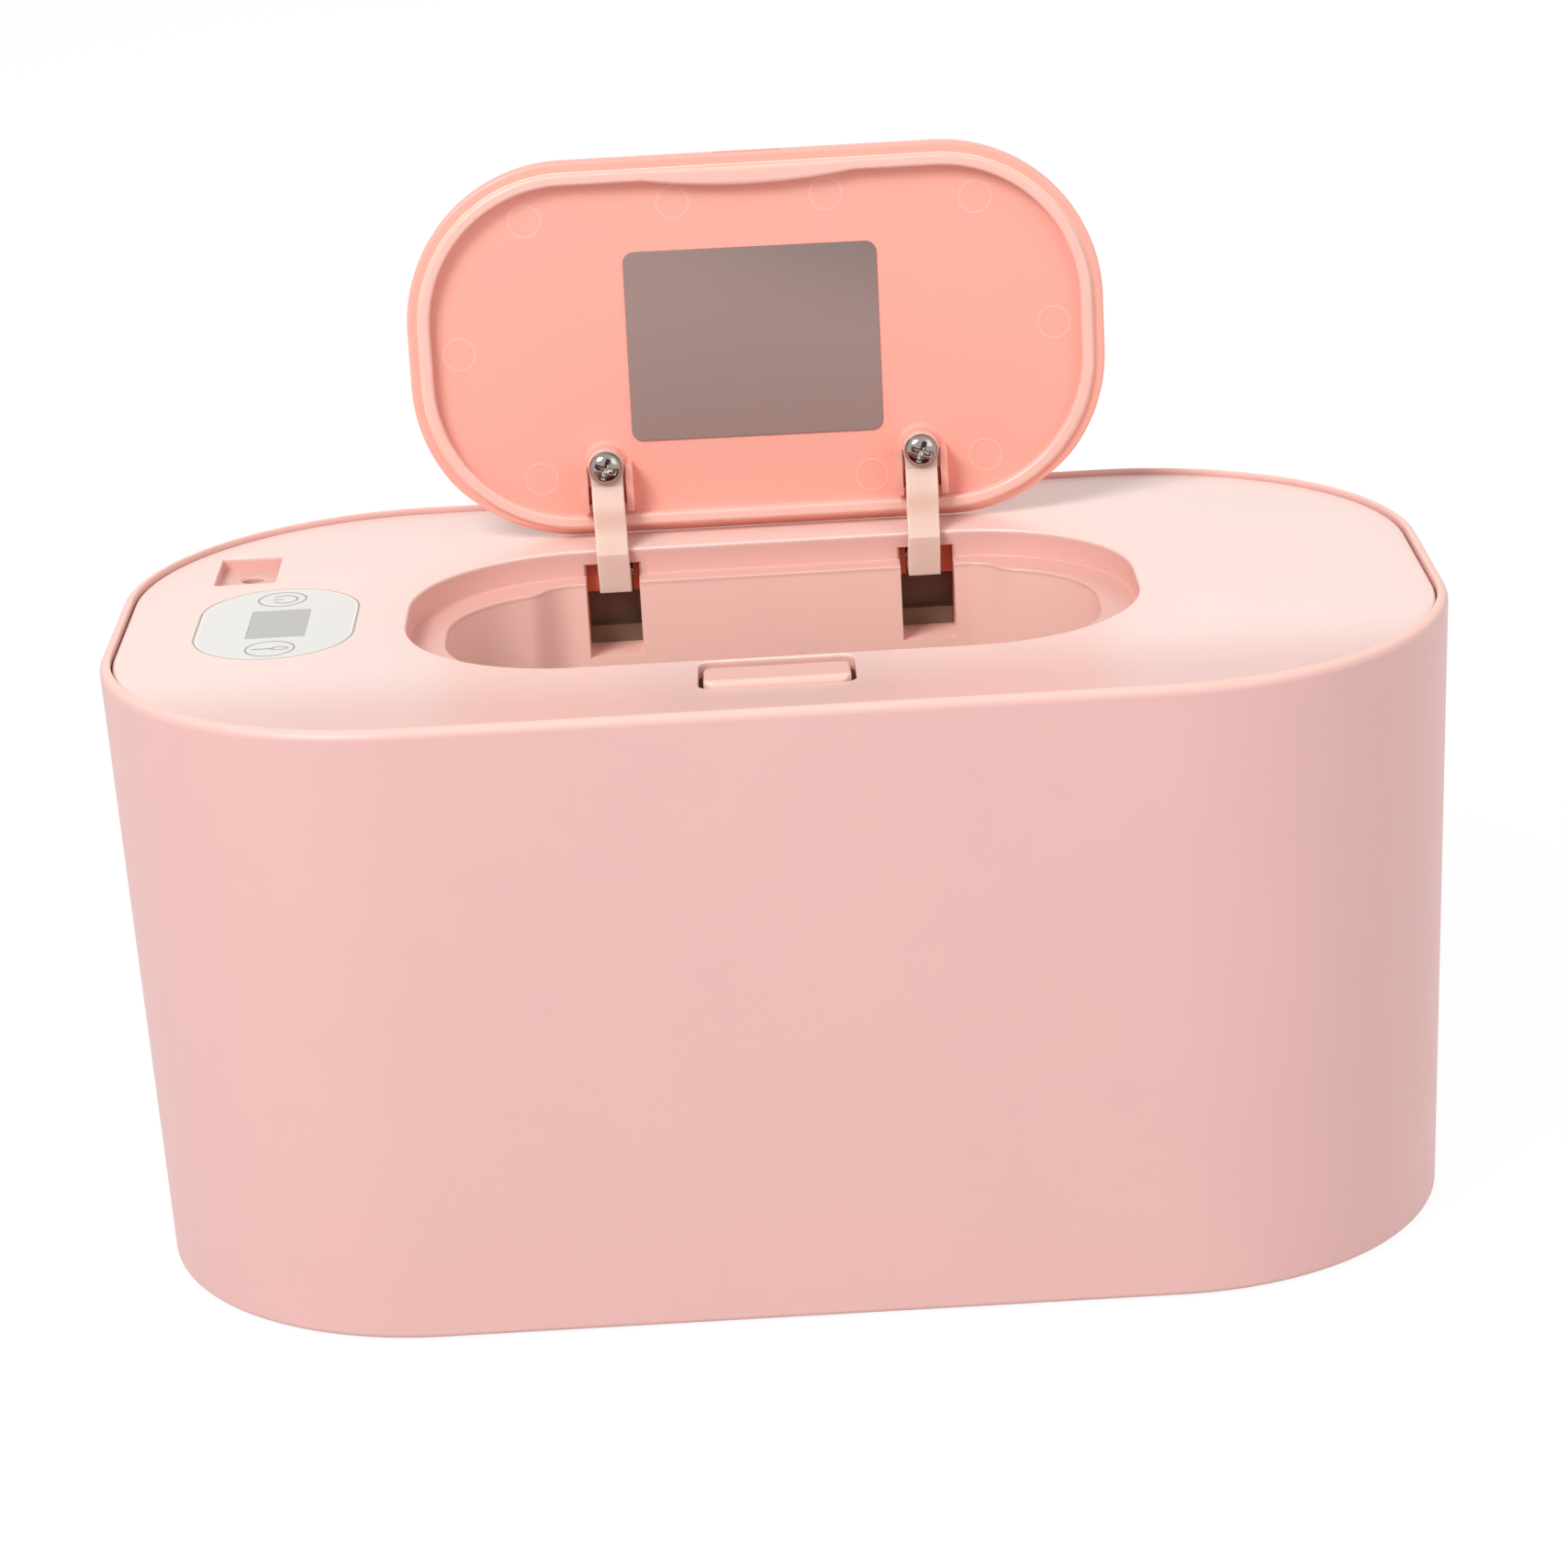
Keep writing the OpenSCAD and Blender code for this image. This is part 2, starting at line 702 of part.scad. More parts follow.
module ear_spots() {
    for (side = [-1, 1])
        translate([side * (housing_in + housing_wall + ear_w / 2), (well_front + well_back) / 2, 0])
            children();
}

module under_cover() {
    color(white) difference() {
        union() {
            difference() {
                translate([0, 0, under_z]) linear_extrude(deck_low - under_z) tub_outline(under_in);
                translate([0, 0, under_z + under_floor])
                    linear_extrude(deck_low - under_z) tub_outline(under_in + under_wall);
            }
            translate([0, 0, plate_z]) linear_extrude(under_z - plate_z + eps)
                rounded(plate_w + 2 * (plate_gap + under_floor), plate_d + 2 * (plate_gap + under_floor),
                        plate_r + plate_gap + under_floor);
            for (p = screw_spots) translate([p[0], p[1], under_z])
                cylinder(r = post_r, h = post_top - under_z);
        }
        slab(plate_w + 2 * plate_gap, plate_d + 2 * plate_gap, plate_r + plate_gap, plate_z - over,
             under_z - plate_z + over);
        translate([0, 0, plate_z - over]) linear_extrude(deck_z) chute_outline(chute_wall + fit);
        for (p = screw_spots) translate([p[0], p[1], under_z - over]) {
            cylinder(r = cover_head_r + fit, h = head_seat - under_z + over);
            cylinder(r = cover_screw_r + slip, h = deck_z);
        }
        lead_hole(under_z - over, under_floor + 2 * over);
    }
}

// The hole in the under cover and the pad that the heater's leads come up through
module lead_hole(z, h) {
    translate([heater_x, panel_y, z]) linear_extrude(h) rounded(lead_hole_w, lead_hole_l, 3);
}

module layer(inset, z, h) {
    translate([0, 0, z]) linear_extrude(h) difference() {
        rounded(plate_w - 2 * inset, plate_d - 2 * inset, plate_r - inset);
        chute_outline(chute_wall + fit + (inset > 0 ? chute_margin : 0));
    }
}

module heating_plate() { color(metal) layer(0, plate_z, plate_t); }
module film_heater() { color("#c98a2c") layer(film_margin, film_z, film_t); }

module insulating_pad() {
    color("#dcdcdc") difference() {
        layer(film_margin, pad_z, pad_t);
        lead_hole(pad_z - over, pad_t + 2 * over);
    }
}

module thermistor() {
    color("#222222") translate([heater_x, thermistor_y, thermistor_z]) rotate([0, 90, 0])
        cylinder(d = thermistor_d, h = thermistor_l, center = true);
}

module thermal_cutout() {
    color(metal) translate([heater_x, cutout_y, film_z + film_t]) {
        cylinder(d = cutout_d, h = cutout_h);
        translate([0, 0, cutout_h - eps]) cylinder(d = cutout_d - 3, h = cutout_cap + eps);
    }
}

// ---- electronics ----

module circuit_board() {
    color("#2e7d4f") difference() {
        translate([panel_x, panel_y, board_z]) linear_extrude(board_t) rounded(board_w, board_l, 3);
        board_spots() translate([0, 0, board_z - over])
            cylinder(r = small_screw_r + slip, h = board_t + 2 * over);
    }
}

module control_chip() {
    color("#222222") translate([panel_x - chip_w, panel_y - chip_w, board_z - chip_t])
        linear_extrude(chip_t) square(chip_w, center = true);
}

module board_connectors() {
    color(white) for (y = plugs_y) translate([plugs_x, y, board_z - plug_size[2]]) difference() {
        linear_extrude(plug_size[2]) square([plug_size[0], plug_size[1]], center = true);
        translate([0, 0, -over]) linear_extrude(plug_well[2] + over)
            square([plug_well[0], plug_well[1]], center = true);
    }
}

module display_holder() {
    color(white) translate([lcd_x, lcd_y, board_z + board_t])
        linear_extrude(board_drop - lcd_t - 2 * slip)
            square([lcd_w + 2 * holder_rim, lcd_l + 2 * holder_rim], center = true);
}

module display_glass() {
    color("#9da39a") translate([lcd_x, lcd_y, deck_low - lcd_t - slip]) linear_extrude(lcd_t)
        square([lcd_w + 2 * glass_rim, lcd_l + 2 * glass_rim], center = true);
}

module display_window() {
    color("#c3c2bd") translate([lcd_x, lcd_y, deck_z - panel_t + eps]) linear_extrude(panel_t - eps)
        square([lcd_w, lcd_l], center = true);
}

module control_panel() {
    color("#e9e9e4") difference() {
        at_panel() translate([0, 0, deck_z - panel_t + eps])
            linear_extrude(panel_t - eps) panel_outline(0);
        translate([lcd_x, lcd_y, deck_z - over]) linear_extrude(2 * over)
            square([lcd_w, lcd_l], center = true);
    }
}

module touch_spring(end) {
    color(metal) translate([panel_x, lcd_y + end * key_off, board_z + board_t + slip])
        coil(touch_r, touch_wire, board_drop - 2 * slip, 5);
}

module power_jack() {
    color(dark) translate([plug_x, plug_y, jack_top - jack_h]) difference() {
        linear_extrude(jack_h) square(jack_w, center = true);
        translate([0, 0, jack_base]) cylinder(d = plug_d, h = jack_h);
    }
}

module jack_pin() {
    color(metal) translate([plug_x, plug_y, jack_top - jack_h + jack_base])
        cylinder(d = pin_d, h = jack_h - jack_base - pin_down);
}

module jack_leads() {
    color(lead_red) leads([plug_x, plug_y, jack_top - jack_h], [plugs_x, plugs_y[2], lead_end],
        [jack_lead_gap, 0, 0], [plug_lead_gap, 0, 0], -jack_sag, plug_sag, power_lead_d);
}

module heater_leads() {
    color(lead_red) leads([heater_x, cutout_y, cutout_top], [plugs_x, plugs_y[0], lead_end],
        [0, plug_lead_gap, 0], [plug_lead_gap, 0, 0], lead_rise, lead_rise, power_lead_d);
}

module sensor_leads() {
    color(dark) leads([heater_x, thermistor_y, thermistor_z + thermistor_d / 2],
        [plugs_x, plugs_y[1], lead_end], [sensor_lead_gap, 0, 0], [sensor_lead_gap, 0, 0],
        lead_rise, lead_rise, sensor_lead_d);
}

// ---- hinge ----

// The dark insert that closes the back of a pocket, with a step at its foot
module hinge_insert(side) {
    color(dark) at_pocket(side) translate([-pocket_w / 2 + slip, 0, pocket_z + slip]) {
        translate([0, pocket_back, 0])
            cube([pocket_w - 2 * slip, insert_t - slip, lug_z - pocket_z - 2 * slip]);
        translate([0, pocket_back - insert_step, 0])
            cube([pocket_w - 2 * slip, insert_step + eps, insert_step_h]);
    }
}

module hinge_shaft() {
    long = pocket_span + pocket_w + 2 * pocket_wall - 2 * fit;
    color(metal) translate([-long / 2, hinge_y, hinge_z]) rotate([0, 90, 0])
        cylinder(r = shaft_r, h = long);
}

// The spring that throws the lid open, wound round the middle of the shaft
module lid_spring() {
    r = shaft_r + fit + lid_wire / 2;
    color(metal) translate([-lid_spring_l / 2, hinge_y, hinge_z]) rotate([0, 90, 0])
        coil(r, lid_wire, lid_spring_l, 9);
}

module hinge_arm(side) {
    color(milky) swing_open() translate([side * arm_span / 2, 0, 0]) difference() {
        union() {
            translate([0, screw_y, pad_low]) cylinder(d = arm_w, h = arm_t);
            translate([-arm_w / 2, 0, 0]) rotate([90, 0, 90]) linear_extrude(arm_w) polygon([
                [screw_y, pad_low], [pad_end, pad_low], [crank_start, arm_low],
                [hinge_y + barrel_r, arm_low], [hinge_y + barrel_r, arm_high],
                [crank_start, arm_high], [pad_end, pad_high], [screw_y, pad_high]]);
            translate([-arm_w / 2, hinge_y - barrel_r, arm_low + eps])
                cube([arm_w, 2 * barrel_r, arm_offset - eps]);
            translate([-arm_w / 2, hinge_y, hinge_z]) rotate([0, 90, 0]) cylinder(r = barrel_r, h = arm_w);
        }
        translate([-arm_w, hinge_y, hinge_z]) rotate([0, 90, 0]) cylinder(r = shaft_r, h = 2 * arm_w);
        translate([0, screw_y, pad_low - over])
            cylinder(r = screw_r + slip, h = arm_t + 2 * over);
    }
}

// ---- lid ----

module lid_profile() {
    polygon(concat([[0, lid_in_z], [lid_r - lip_w, lid_in_z], [lid_r - lip_w, lip_z], [lid_r, lip_z]],
        arc(lid_r - lid_edge, deck_z - lid_edge, lid_edge, 0, 90), [[0, deck_z]]));
}

// What the recess's top edge sweeps as seen from the lid: at each x, a disc about the hinge axis
// that reaches that edge. Taken off the lid, it undercuts the back so that the lid swings clear.
module swing_relief(clear) {
    cx = recess_w / 2 - recess_r;
    cy = hinge_back + recess_r;
    bend = [for (a = [90:-9:9]) let (edge = cy - recess_r * sin(a))
        [norm([edge, hinge_drop]) + clear, cx + recess_r * cos(a)]];
    far = [for (i = [0:len(bend) - 1]) bend[len(bend) - 1 - i]];
    translate([0, hinge_y, hinge_z]) rotate([0, 90, 0]) rotate_extrude()
        polygon(concat([[0, far[0][1]]], far, [for (p = bend) [p[0], -p[1]]], [[0, -far[0][1]]]));
}

module arm_channel() {
    low = pad_high - arm_t / 2;
    translate([-channel_w / 2, screw_y, low]) cube([channel_w, channel_l, lid_in_z - low + eps]);
    translate([0, screw_y, pad_high]) cylinder(r = screw_boss_r, h = lid_in_z - pad_high + eps);
}

module arm_channel_cut() {
    inside = channel_w - 2 * channel_wall;
    hollow = channel_l - screw_boss_r - boss_gap - channel_wall;
    translate([-inside / 2, screw_y - over, pad_low])
        cube([inside, channel_l + 2 * over, arm_t]);
    translate([-inside / 2, screw_y + screw_boss_r + boss_gap, pad_low])
        cube([inside, hollow, lid_in_z - pad_low]);
    translate([0, screw_y, pad_high - over])
        cylinder(r = screw_r + slip, h = lid_screw_l - arm_t + over + hole_spare);
}

module lid_shell() {
    catch_w = latch_w + 2 * catch_side;
    color(deep_pink) swing_open() difference() {
        union() {
            translate([0, recess_y, 0]) sweep_round(lid_w, lid_d, lid_r, lid_in_z, deck_z) lid_profile();
            for (side = [-1, 1]) translate([side * arm_span / 2, 0, 0]) arm_channel();
        }
        for (side = [-1, 1]) translate([side * arm_span / 2, 0, 0]) arm_channel_cut();
        swing_relief(relief_gap);
        translate([-catch_w / 2, recess_front, catch_z])
            cube([catch_w, lid_gap + latch_bite + fit, nose_h + 2 * fit]);
    }
}

module lid_seal() {
    out = lip_w;
    inner = lip_w + seal_w;
    bulge_r = (seal_bulge_half * seal_bulge_half + seal_bulge * seal_bulge) / (2 * seal_bulge);
    front = -lid_d / 2 + inner;
    color("#f3c6bb") swing_open() difference() {
        translate([0, recess_y, seal_z]) linear_extrude(lid_in_z - seal_z - eps) {
            difference() {
                rounded(lid_w - 2 * out, lid_d - 2 * out, lid_r - out);
                rounded(lid_w - 2 * inner, lid_d - 2 * inner, lid_r - inner);
            }
            intersection() {
                translate([0, front + seal_bulge - bulge_r]) circle(bulge_r);
                translate([-seal_bulge_half - 1, front - seal_w / 2])
                    square([2 * seal_bulge_half + 2, seal_bulge + seal_w]);
            }
        }
        swing_relief(relief_gap);
    }
}

module lid_label() {
    color("#8f8a88") swing_open() translate([-label_left, recess_y + label_back, lid_in_z - label_t])
        linear_extrude(label_t - eps) rounded(label_w, label_d, label_r);
}

module lid_screws() {
    color(metal) swing_open() for (side = [-1, 1])
        translate([side * arm_span / 2, screw_y, pad_low - eps])
            screw_up(screw_head_r, screw_head_h, screw_r, lid_screw_l);
}

// ---- release button and latch ----

module release_button() {
    mid = (button_front + button_back) / 2;
    color(pink) {
        intersection() {
            translate([0, mid, button_low_z]) linear_extrude(deck_z) rounded(button_w, button_d, key_r);
            translate([-button_w / 2, 0, 0]) rotate([90, 0, 90]) linear_extrude(button_w) polygon([
                [button_back, button_low_z], [button_back, deck_z - button_low],
                [button_front + key_nose, deck_z + button_high],
                [button_front + key_nose / 3, deck_z + button_high / 2],
                [button_front, deck_z - key_nose / 2], [button_front, button_low_z]]);
        }
        for (side = [-1, 1]) leg(side);
        key_side = button_w / 2 + button_gap + key_catch - fit;
        translate([-key_side, mid - key_catch_l / 2, button_low_z])
            cube([2 * key_side, key_catch_l, deck_low - fit - button_low_z]);
    }
}

// An inclined leg of the button: pressing it down carries the latch forwards
module leg(side) {
    top_z = button_low_z + over;
    top_y = leg_y - latch_ratio * (top_z - latch_z);
    low_y = leg_y + latch_ratio * (latch_z - leg_low);
    t = leg_t / 2;
    translate([side * leg_x - leg_w / 2, 0, 0]) rotate([90, 0, 90]) linear_extrude(leg_w)
        polygon([[low_y - t, leg_low], [low_y + t, leg_low], [top_y + t, top_z], [top_y - t, top_z]]);
}

module latch_plate() {
    plate_front = well_front + latch_draw + fit;
    nose_tip = recess_front + lid_gap + latch_bite;
    stem_back = recess_front - slip;
    leg_slot = leg_t + latch_ratio * latch_t + 2 * fit;
    slot_mid = leg_y - latch_ratio * latch_t / 2;
    hole_r = spring_r + spring_wire / 2 + spring_room;
    color(metal) difference() {
        union() {
            translate([-latch_plate_w / 2, plate_front, latch_z])
                cube([latch_plate_w, stem_back - plate_front, latch_t]);
            translate([-latch_w / 2, stem_back - latch_t, latch_z])
                cube([latch_w, latch_t, nose_z + nose_h - latch_z]);
            translate([-latch_w / 2, stem_back - latch_t, nose_z])
                cube([latch_w, nose_tip - stem_back + latch_t, nose_h]);
        }
        for (side = [-1, 1])
            translate([side * leg_x - leg_w / 2 - fit, slot_mid - leg_slot / 2, latch_z - over])
                cube([leg_w + 2 * fit, leg_slot, latch_t + 2 * over]);
        translate([0, leg_y, latch_z - over]) linear_extrude(latch_t + 2 * over) {
            circle(hole_r);
            translate([-hole_r, 0]) square([2 * hole_r, latch_draw]);
            translate([0, latch_draw]) circle(hole_r);
        }
    }
}

module button_spring() {
    color(metal) translate([0, leg_y, spring_seat + spring_gap])
        coil(spring_r, spring_wire, button_low_z - spring_seat - 2 * spring_gap, 6);
}

module latch_housing() {
    inner = housing_in;
    outer = inner + housing_wall;
    front = well_front - housing_wall;
    back = housing_back + housing_wall;
    step_y = well_back - chute_wall;
    ear_z = deck_low - ear_drop - ear_t;
    color(white) difference() {
        union() {
            translate([-outer, front, housing_low])
                cube([2 * outer, back - front, shelf_low - seat - housing_low]);
            translate([-outer, front, housing_low])
                cube([2 * outer, step_y - front, deck_low - slip - housing_low]);
            hull() {
                ear_spots() translate([0, 0, ear_z]) cylinder(r = ear_w / 2, h = ear_t);
            }
        }
        translate([-inner, well_front, spring_seat])
            cube([2 * inner, housing_back - well_front, deck_z]);
        ear_spots() translate([0, 0, ear_z - over])
            cylinder(r = small_screw_r + slip, h = ear_t + 2 * over);
    }
    // Rails that the latch slides on
    rail_x = leg_x + leg_w / 2 + 2 * fit;
    color(white) for (side = [0, 1]) mirror([side, 0, 0])
        translate([rail_x, well_front - eps, spring_seat - eps])
            cube([inner - rail_x + eps, housing_back - well_front + 2 * eps,
                  latch_z - 2 * slip - spring_seat]);
}

// ---- fasteners ----

module cover_screws() {
    color(metal) for (p = screw_spots) translate([p[0], p[1], head_seat])
        screw_up(cover_head_r, cover_head_h, cover_screw_r, post_top - head_seat + cover_bite);
}

module board_screws() {
    color(metal) board_spots() translate([0, 0, board_z])
        screw_up(small_head_r, small_head_h, small_screw_r, board_t + small_bite);
}

module latch_screws() {
    color(metal) ear_spots() translate([0, 0, deck_low - ear_drop - ear_t])
        screw_up(small_head_r, small_head_h, small_screw_r, ear_t + small_bite);
}

outer_tub();
foot(-1, -1);  // foot_front_left
foot(1, -1);  // foot_front_right
foot(-1, 1);  // foot_back_left
foot(1, 1);  // foot_back_right
top_deck();
under_cover();
heating_plate();
film_heater();
insulating_pad();
thermistor();
thermal_cutout();
circuit_board();
control_chip();
board_connectors();
display_glass();
display_holder();
display_window();
control_panel();
touch_spring(1);  // touch_spring_power
touch_spring(-1);  // touch_spring_mode
power_jack();
jack_pin();
jack_leads();
heater_leads();
sensor_leads();
hinge_insert(-1);  // hinge_insert_left
hinge_insert(1);  // hinge_insert_right
lid_spring();
latch_housing();
button_spring();
cover_screws();
board_screws();
latch_screws();
lid_shell();
lid_seal();
lid_label();
hinge_arm(-1);  // hinge_arm_left
hinge_arm(1);  // hinge_arm_right
hinge_shaft();
lid_screws();
release_button();
latch_plate();
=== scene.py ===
# Baby wipe warmer standing open, dressed in moulded plastic, silicone, film and chrome.
# Sizes are in millimetres, in the frame of the CAD model; meshes are stored in metres.

import json

import bmesh
import bpy
import numpy as np
from mathutils import Matrix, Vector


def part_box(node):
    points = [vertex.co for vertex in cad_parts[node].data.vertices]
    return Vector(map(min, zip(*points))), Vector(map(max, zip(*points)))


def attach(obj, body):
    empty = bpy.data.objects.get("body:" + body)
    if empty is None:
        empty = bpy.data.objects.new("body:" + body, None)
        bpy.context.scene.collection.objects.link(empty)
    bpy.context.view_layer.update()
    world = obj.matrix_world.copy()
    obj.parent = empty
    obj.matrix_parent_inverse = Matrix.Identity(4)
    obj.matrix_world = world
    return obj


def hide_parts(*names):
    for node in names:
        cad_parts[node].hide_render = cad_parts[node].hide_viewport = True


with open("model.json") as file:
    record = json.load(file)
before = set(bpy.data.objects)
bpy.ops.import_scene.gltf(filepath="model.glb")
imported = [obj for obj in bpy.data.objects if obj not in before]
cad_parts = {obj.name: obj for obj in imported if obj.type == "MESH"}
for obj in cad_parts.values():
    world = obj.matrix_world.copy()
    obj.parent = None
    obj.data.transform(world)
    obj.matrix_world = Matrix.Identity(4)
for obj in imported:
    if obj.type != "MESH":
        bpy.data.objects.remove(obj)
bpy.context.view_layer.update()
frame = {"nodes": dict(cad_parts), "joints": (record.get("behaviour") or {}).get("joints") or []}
nodes = frame["nodes"]


# ---- Outer tub ----
# One injection moulding of pink ABS: an oval tub with slightly drafted walls, a satin skin and a thin
# raised rim that the cover sits inside. A shoulder below the rim carries the cover.

def span(node):
    """Lowest and highest corner of a CAD node, in millimetres."""
    low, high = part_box(node)
    return np.array(low) * 1000, np.array(high) * 1000


def rounded(w, d, r, x=0.0, y=0.0, steps=24):
    """A rectangle with round corners, counterclockwise: each corner is a quarter circle with
    point = corner centre + r (cos a, sin a) and outward normal (cos a, sin a)."""
    turn = np.linspace(0, np.pi / 2, steps + 1)
    a = (np.arange(4)[:, None] * np.pi / 2 + turn).ravel()
    normal = np.stack([np.cos(a), np.sin(a)], 1)
    side = np.repeat([1, -1, -1, 1], steps + 1)
    end = np.repeat([1, 1, -1, -1], steps + 1)
    centre = np.stack([x + side * (w / 2 - r), y + end * (d / 2 - r)], 1)
    return centre + r * normal, normal


def bend(out, z, r, start, end, steps=5):
    """Part of a circle in a profile: (out + r cos a, z + r sin a) for a from start to end in degrees."""
    a = np.radians(np.linspace(start, end, steps + 1))
    return np.stack([out + r * np.cos(a), z + r * np.sin(a)], 1).tolist()


def net(rows, columns):
    """Quads between neighbouring rows of points, each row closed on itself, and then the first and the
    last row as end faces."""
    i, j = np.meshgrid(np.arange(rows - 1), np.arange(columns), indexing="ij")
    k = (j + 1) % columns
    quads = np.stack([i * columns + j, i * columns + k, (i + 1) * columns + k, (i + 1) * columns + j], -1)
    ends = [list(range(columns))[::-1], list(range((rows - 1) * columns, rows * columns))]
    return quads.reshape(-1, 4).tolist() + ends


def carried(line, profile):
    """A profile of (out, z) carried round a closed line: point(i, j) = line(j) + out(i) normal(j) at z(i).
    Gives the points and the faces, of which the last two close the ends."""
    plan, normal = line
    out, z = np.array(profile, float).T
    rows, columns = len(out), len(plan)
    xy = plan[None] + out[:, None, None] * normal[None]
    height = np.broadcast_to(z[:, None, None], (rows, columns, 1))
    return np.concatenate([xy, height], 2).reshape(-1, 3), net(rows, columns)


def solid(name, *shapes):
    """One mesh object of closed shapes, each of points in millimetres and faces. Doubles are merged
    and normals point outwards."""
    points, faces, first = [], [], 0
    for shape_points, shape_faces in shapes:
        points.append(shape_points)
        faces += [[first + k for k in face] for face in shape_faces]
        first += len(shape_points)
    mesh = bpy.data.meshes.new(name)
    mesh.from_pydata((np.concatenate(points) / 1000).tolist(), [], faces)
    work = bmesh.new()
    work.from_mesh(mesh)
    bmesh.ops.remove_doubles(work, verts=work.verts, dist=1e-7)
    bmesh.ops.recalc_face_normals(work, faces=work.faces)
    work.to_mesh(mesh)
    work.free()
    piece = bpy.data.objects.new(name, mesh)
    bpy.context.scene.collection.objects.link(piece)
    return piece


def shade(piece, angle=32):
    """Smooth shading up to an angle, with flat faces kept flat next to their rounded edges."""
    mesh = piece.data
    mesh.polygons.foreach_set("use_smooth", np.ones(len(mesh.polygons), bool))
    mesh.set_sharp_from_angle(angle=np.radians(angle))
    flat = piece.modifiers.new("flat faces", "WEIGHTED_NORMAL")
    flat.keep_sharp = True
    flat.weight = 90
    return piece


def linear(red, green, blue):
    """A colour of 0 to 255 as seen on a screen, as the light that it stands for."""
    c = np.array([red, green, blue]) / 255
    light = np.where(c <= 0.04045, c / 12.92, ((c + 0.055) / 1.055) ** 2.4)
    return (*light.tolist(), 1.0)


def shader_group(name, inputs, outputs):
    """A new shader node group with named sockets, and its input and output nodes."""
    group = bpy.data.node_groups.new(name, "ShaderNodeTree")
    for label, kind, value in inputs:
        group.interface.new_socket(label, in_out="INPUT", socket_type=kind).default_value = value
    for label, kind in outputs:
        group.interface.new_socket(label, in_out="OUTPUT", socket_type=kind)
    return group, group.nodes.new("NodeGroupInput"), group.nodes.new("NodeGroupOutput")


def noise(tree, scale, detail, vector):
    """A noise texture of that many cells a metre on a vector."""
    texture = tree.nodes.new("ShaderNodeTexNoise")
    texture.inputs["Scale"].default_value = scale
    texture.inputs["Detail"].default_value = detail
    tree.links.new(vector, texture.inputs["Vector"])
    return texture.outputs["Fac"]


def calculate(tree, operation, *values):
    """A Math node of that operation on values or sockets."""
    node = tree.nodes.new("ShaderNodeMath")
    node.operation = operation
    for socket, value in zip(node.inputs, values):
        if isinstance(value, (int, float)):
            socket.default_value = value
        else:
            tree.links.new(value, socket)
    return node.outputs[0]


FLOAT, COLOUR = "NodeSocketFloat", "NodeSocketColor"
skin, given, result = shader_group(
    "moulded_skin",
    [("Colour", COLOUR, (0.8, 0.8, 0.8, 1)), ("Roughness", FLOAT, 0.4), ("Mottle", FLOAT, 0.04)],
    [("Colour", COLOUR), ("Roughness", FLOAT), ("Height", FLOAT)])
# Moulded skin: colour x (1 + mottle (cloud - 0.5)), roughness + spread (cloud - 0.5), height a fine grain
cloud_cells, grain_cells, rough_spread = 45, 5200, 0.12
place = skin.nodes.new("ShaderNodeTexCoord").outputs["Object"]
cloud = calculate(skin, "SUBTRACT", noise(skin, cloud_cells, 3, place), 0.5)
grain = noise(skin, grain_cells, 2, place)
tone = calculate(skin, "MULTIPLY_ADD", cloud, given.outputs["Mottle"], 1.0)
tint = skin.nodes.new("ShaderNodeVectorMath")
tint.operation = "SCALE"
skin.links.new(given.outputs["Colour"], tint.inputs[0])
skin.links.new(tone, tint.inputs["Scale"])
skin.links.new(tint.outputs[0], result.inputs["Colour"])
rough = calculate(skin, "MULTIPLY_ADD", cloud, rough_spread, given.outputs["Roughness"])
skin.links.new(rough, result.inputs["Roughness"])
skin.links.new(grain, result.inputs["Height"])


def moulded(name, colour, roughness=0.4, mottle=0.04, depth=0.004, **sockets):
    """A moulded plastic: the skin group on a Principled shader. depth is the grain's height in
    millimetres, and sockets are plain values of the shader."""
    material = bpy.data.materials.new(name)
    material.use_nodes = True
    tree = material.node_tree
    shader = tree.nodes["Principled BSDF"]
    group = tree.nodes.new("ShaderNodeGroup")
    group.node_tree = skin
    group.inputs["Colour"].default_value = colour
    group.inputs["Roughness"].default_value = roughness
    group.inputs["Mottle"].default_value = mottle
    bump = tree.nodes.new("ShaderNodeBump")
    bump.inputs["Strength"].default_value = 0.5
    bump.inputs["Distance"].default_value = depth / 1000
    tree.links.new(group.outputs["Colour"], shader.inputs["Base Color"])
    tree.links.new(group.outputs["Roughness"], shader.inputs["Roughness"])
    tree.links.new(group.outputs["Height"], bump.inputs["Height"])
    tree.links.new(bump.outputs["Normal"], shader.inputs["Normal"])
    for socket, value in sockets.items():
        shader.inputs[socket.replace("_", " ")].default_value = value
    return material


second_tone, given, result = shader_group(
    "second_tone",
    [("First", COLOUR, (0.8, 0.8, 0.8, 1)), ("Second", COLOUR, (0.8, 0.5, 0.5, 1)),
     ("Along", "NodeSocketVector", (0.0, 0.0, 1.0)), ("Start", FLOAT, 0.0), ("End", FLOAT, 1.0)],
    [("Colour", COLOUR)])
# Painted light ramp: with d = place . along, the first colour before start, the second past end, and a
# smooth step; it paints light and shade into a colour
distance = second_tone.nodes.new("ShaderNodeVectorMath")
distance.operation = "DOT_PRODUCT"
second_tone.links.new(second_tone.nodes.new("ShaderNodeTexCoord").outputs["Object"], distance.inputs[0])
second_tone.links.new(given.outputs["Along"], distance.inputs[1])
turning = second_tone.nodes.new("ShaderNodeMapRange")
turning.interpolation_type = "SMOOTHSTEP"
second_tone.links.new(distance.outputs["Value"], turning.inputs["Value"])
second_tone.links.new(given.outputs["Start"], turning.inputs["From Min"])
second_tone.links.new(given.outputs["End"], turning.inputs["From Max"])
mixed = second_tone.nodes.new("ShaderNodeMix")
mixed.data_type = "RGBA"
second_tone.links.new(turning.outputs["Result"], mixed.inputs["Factor"])
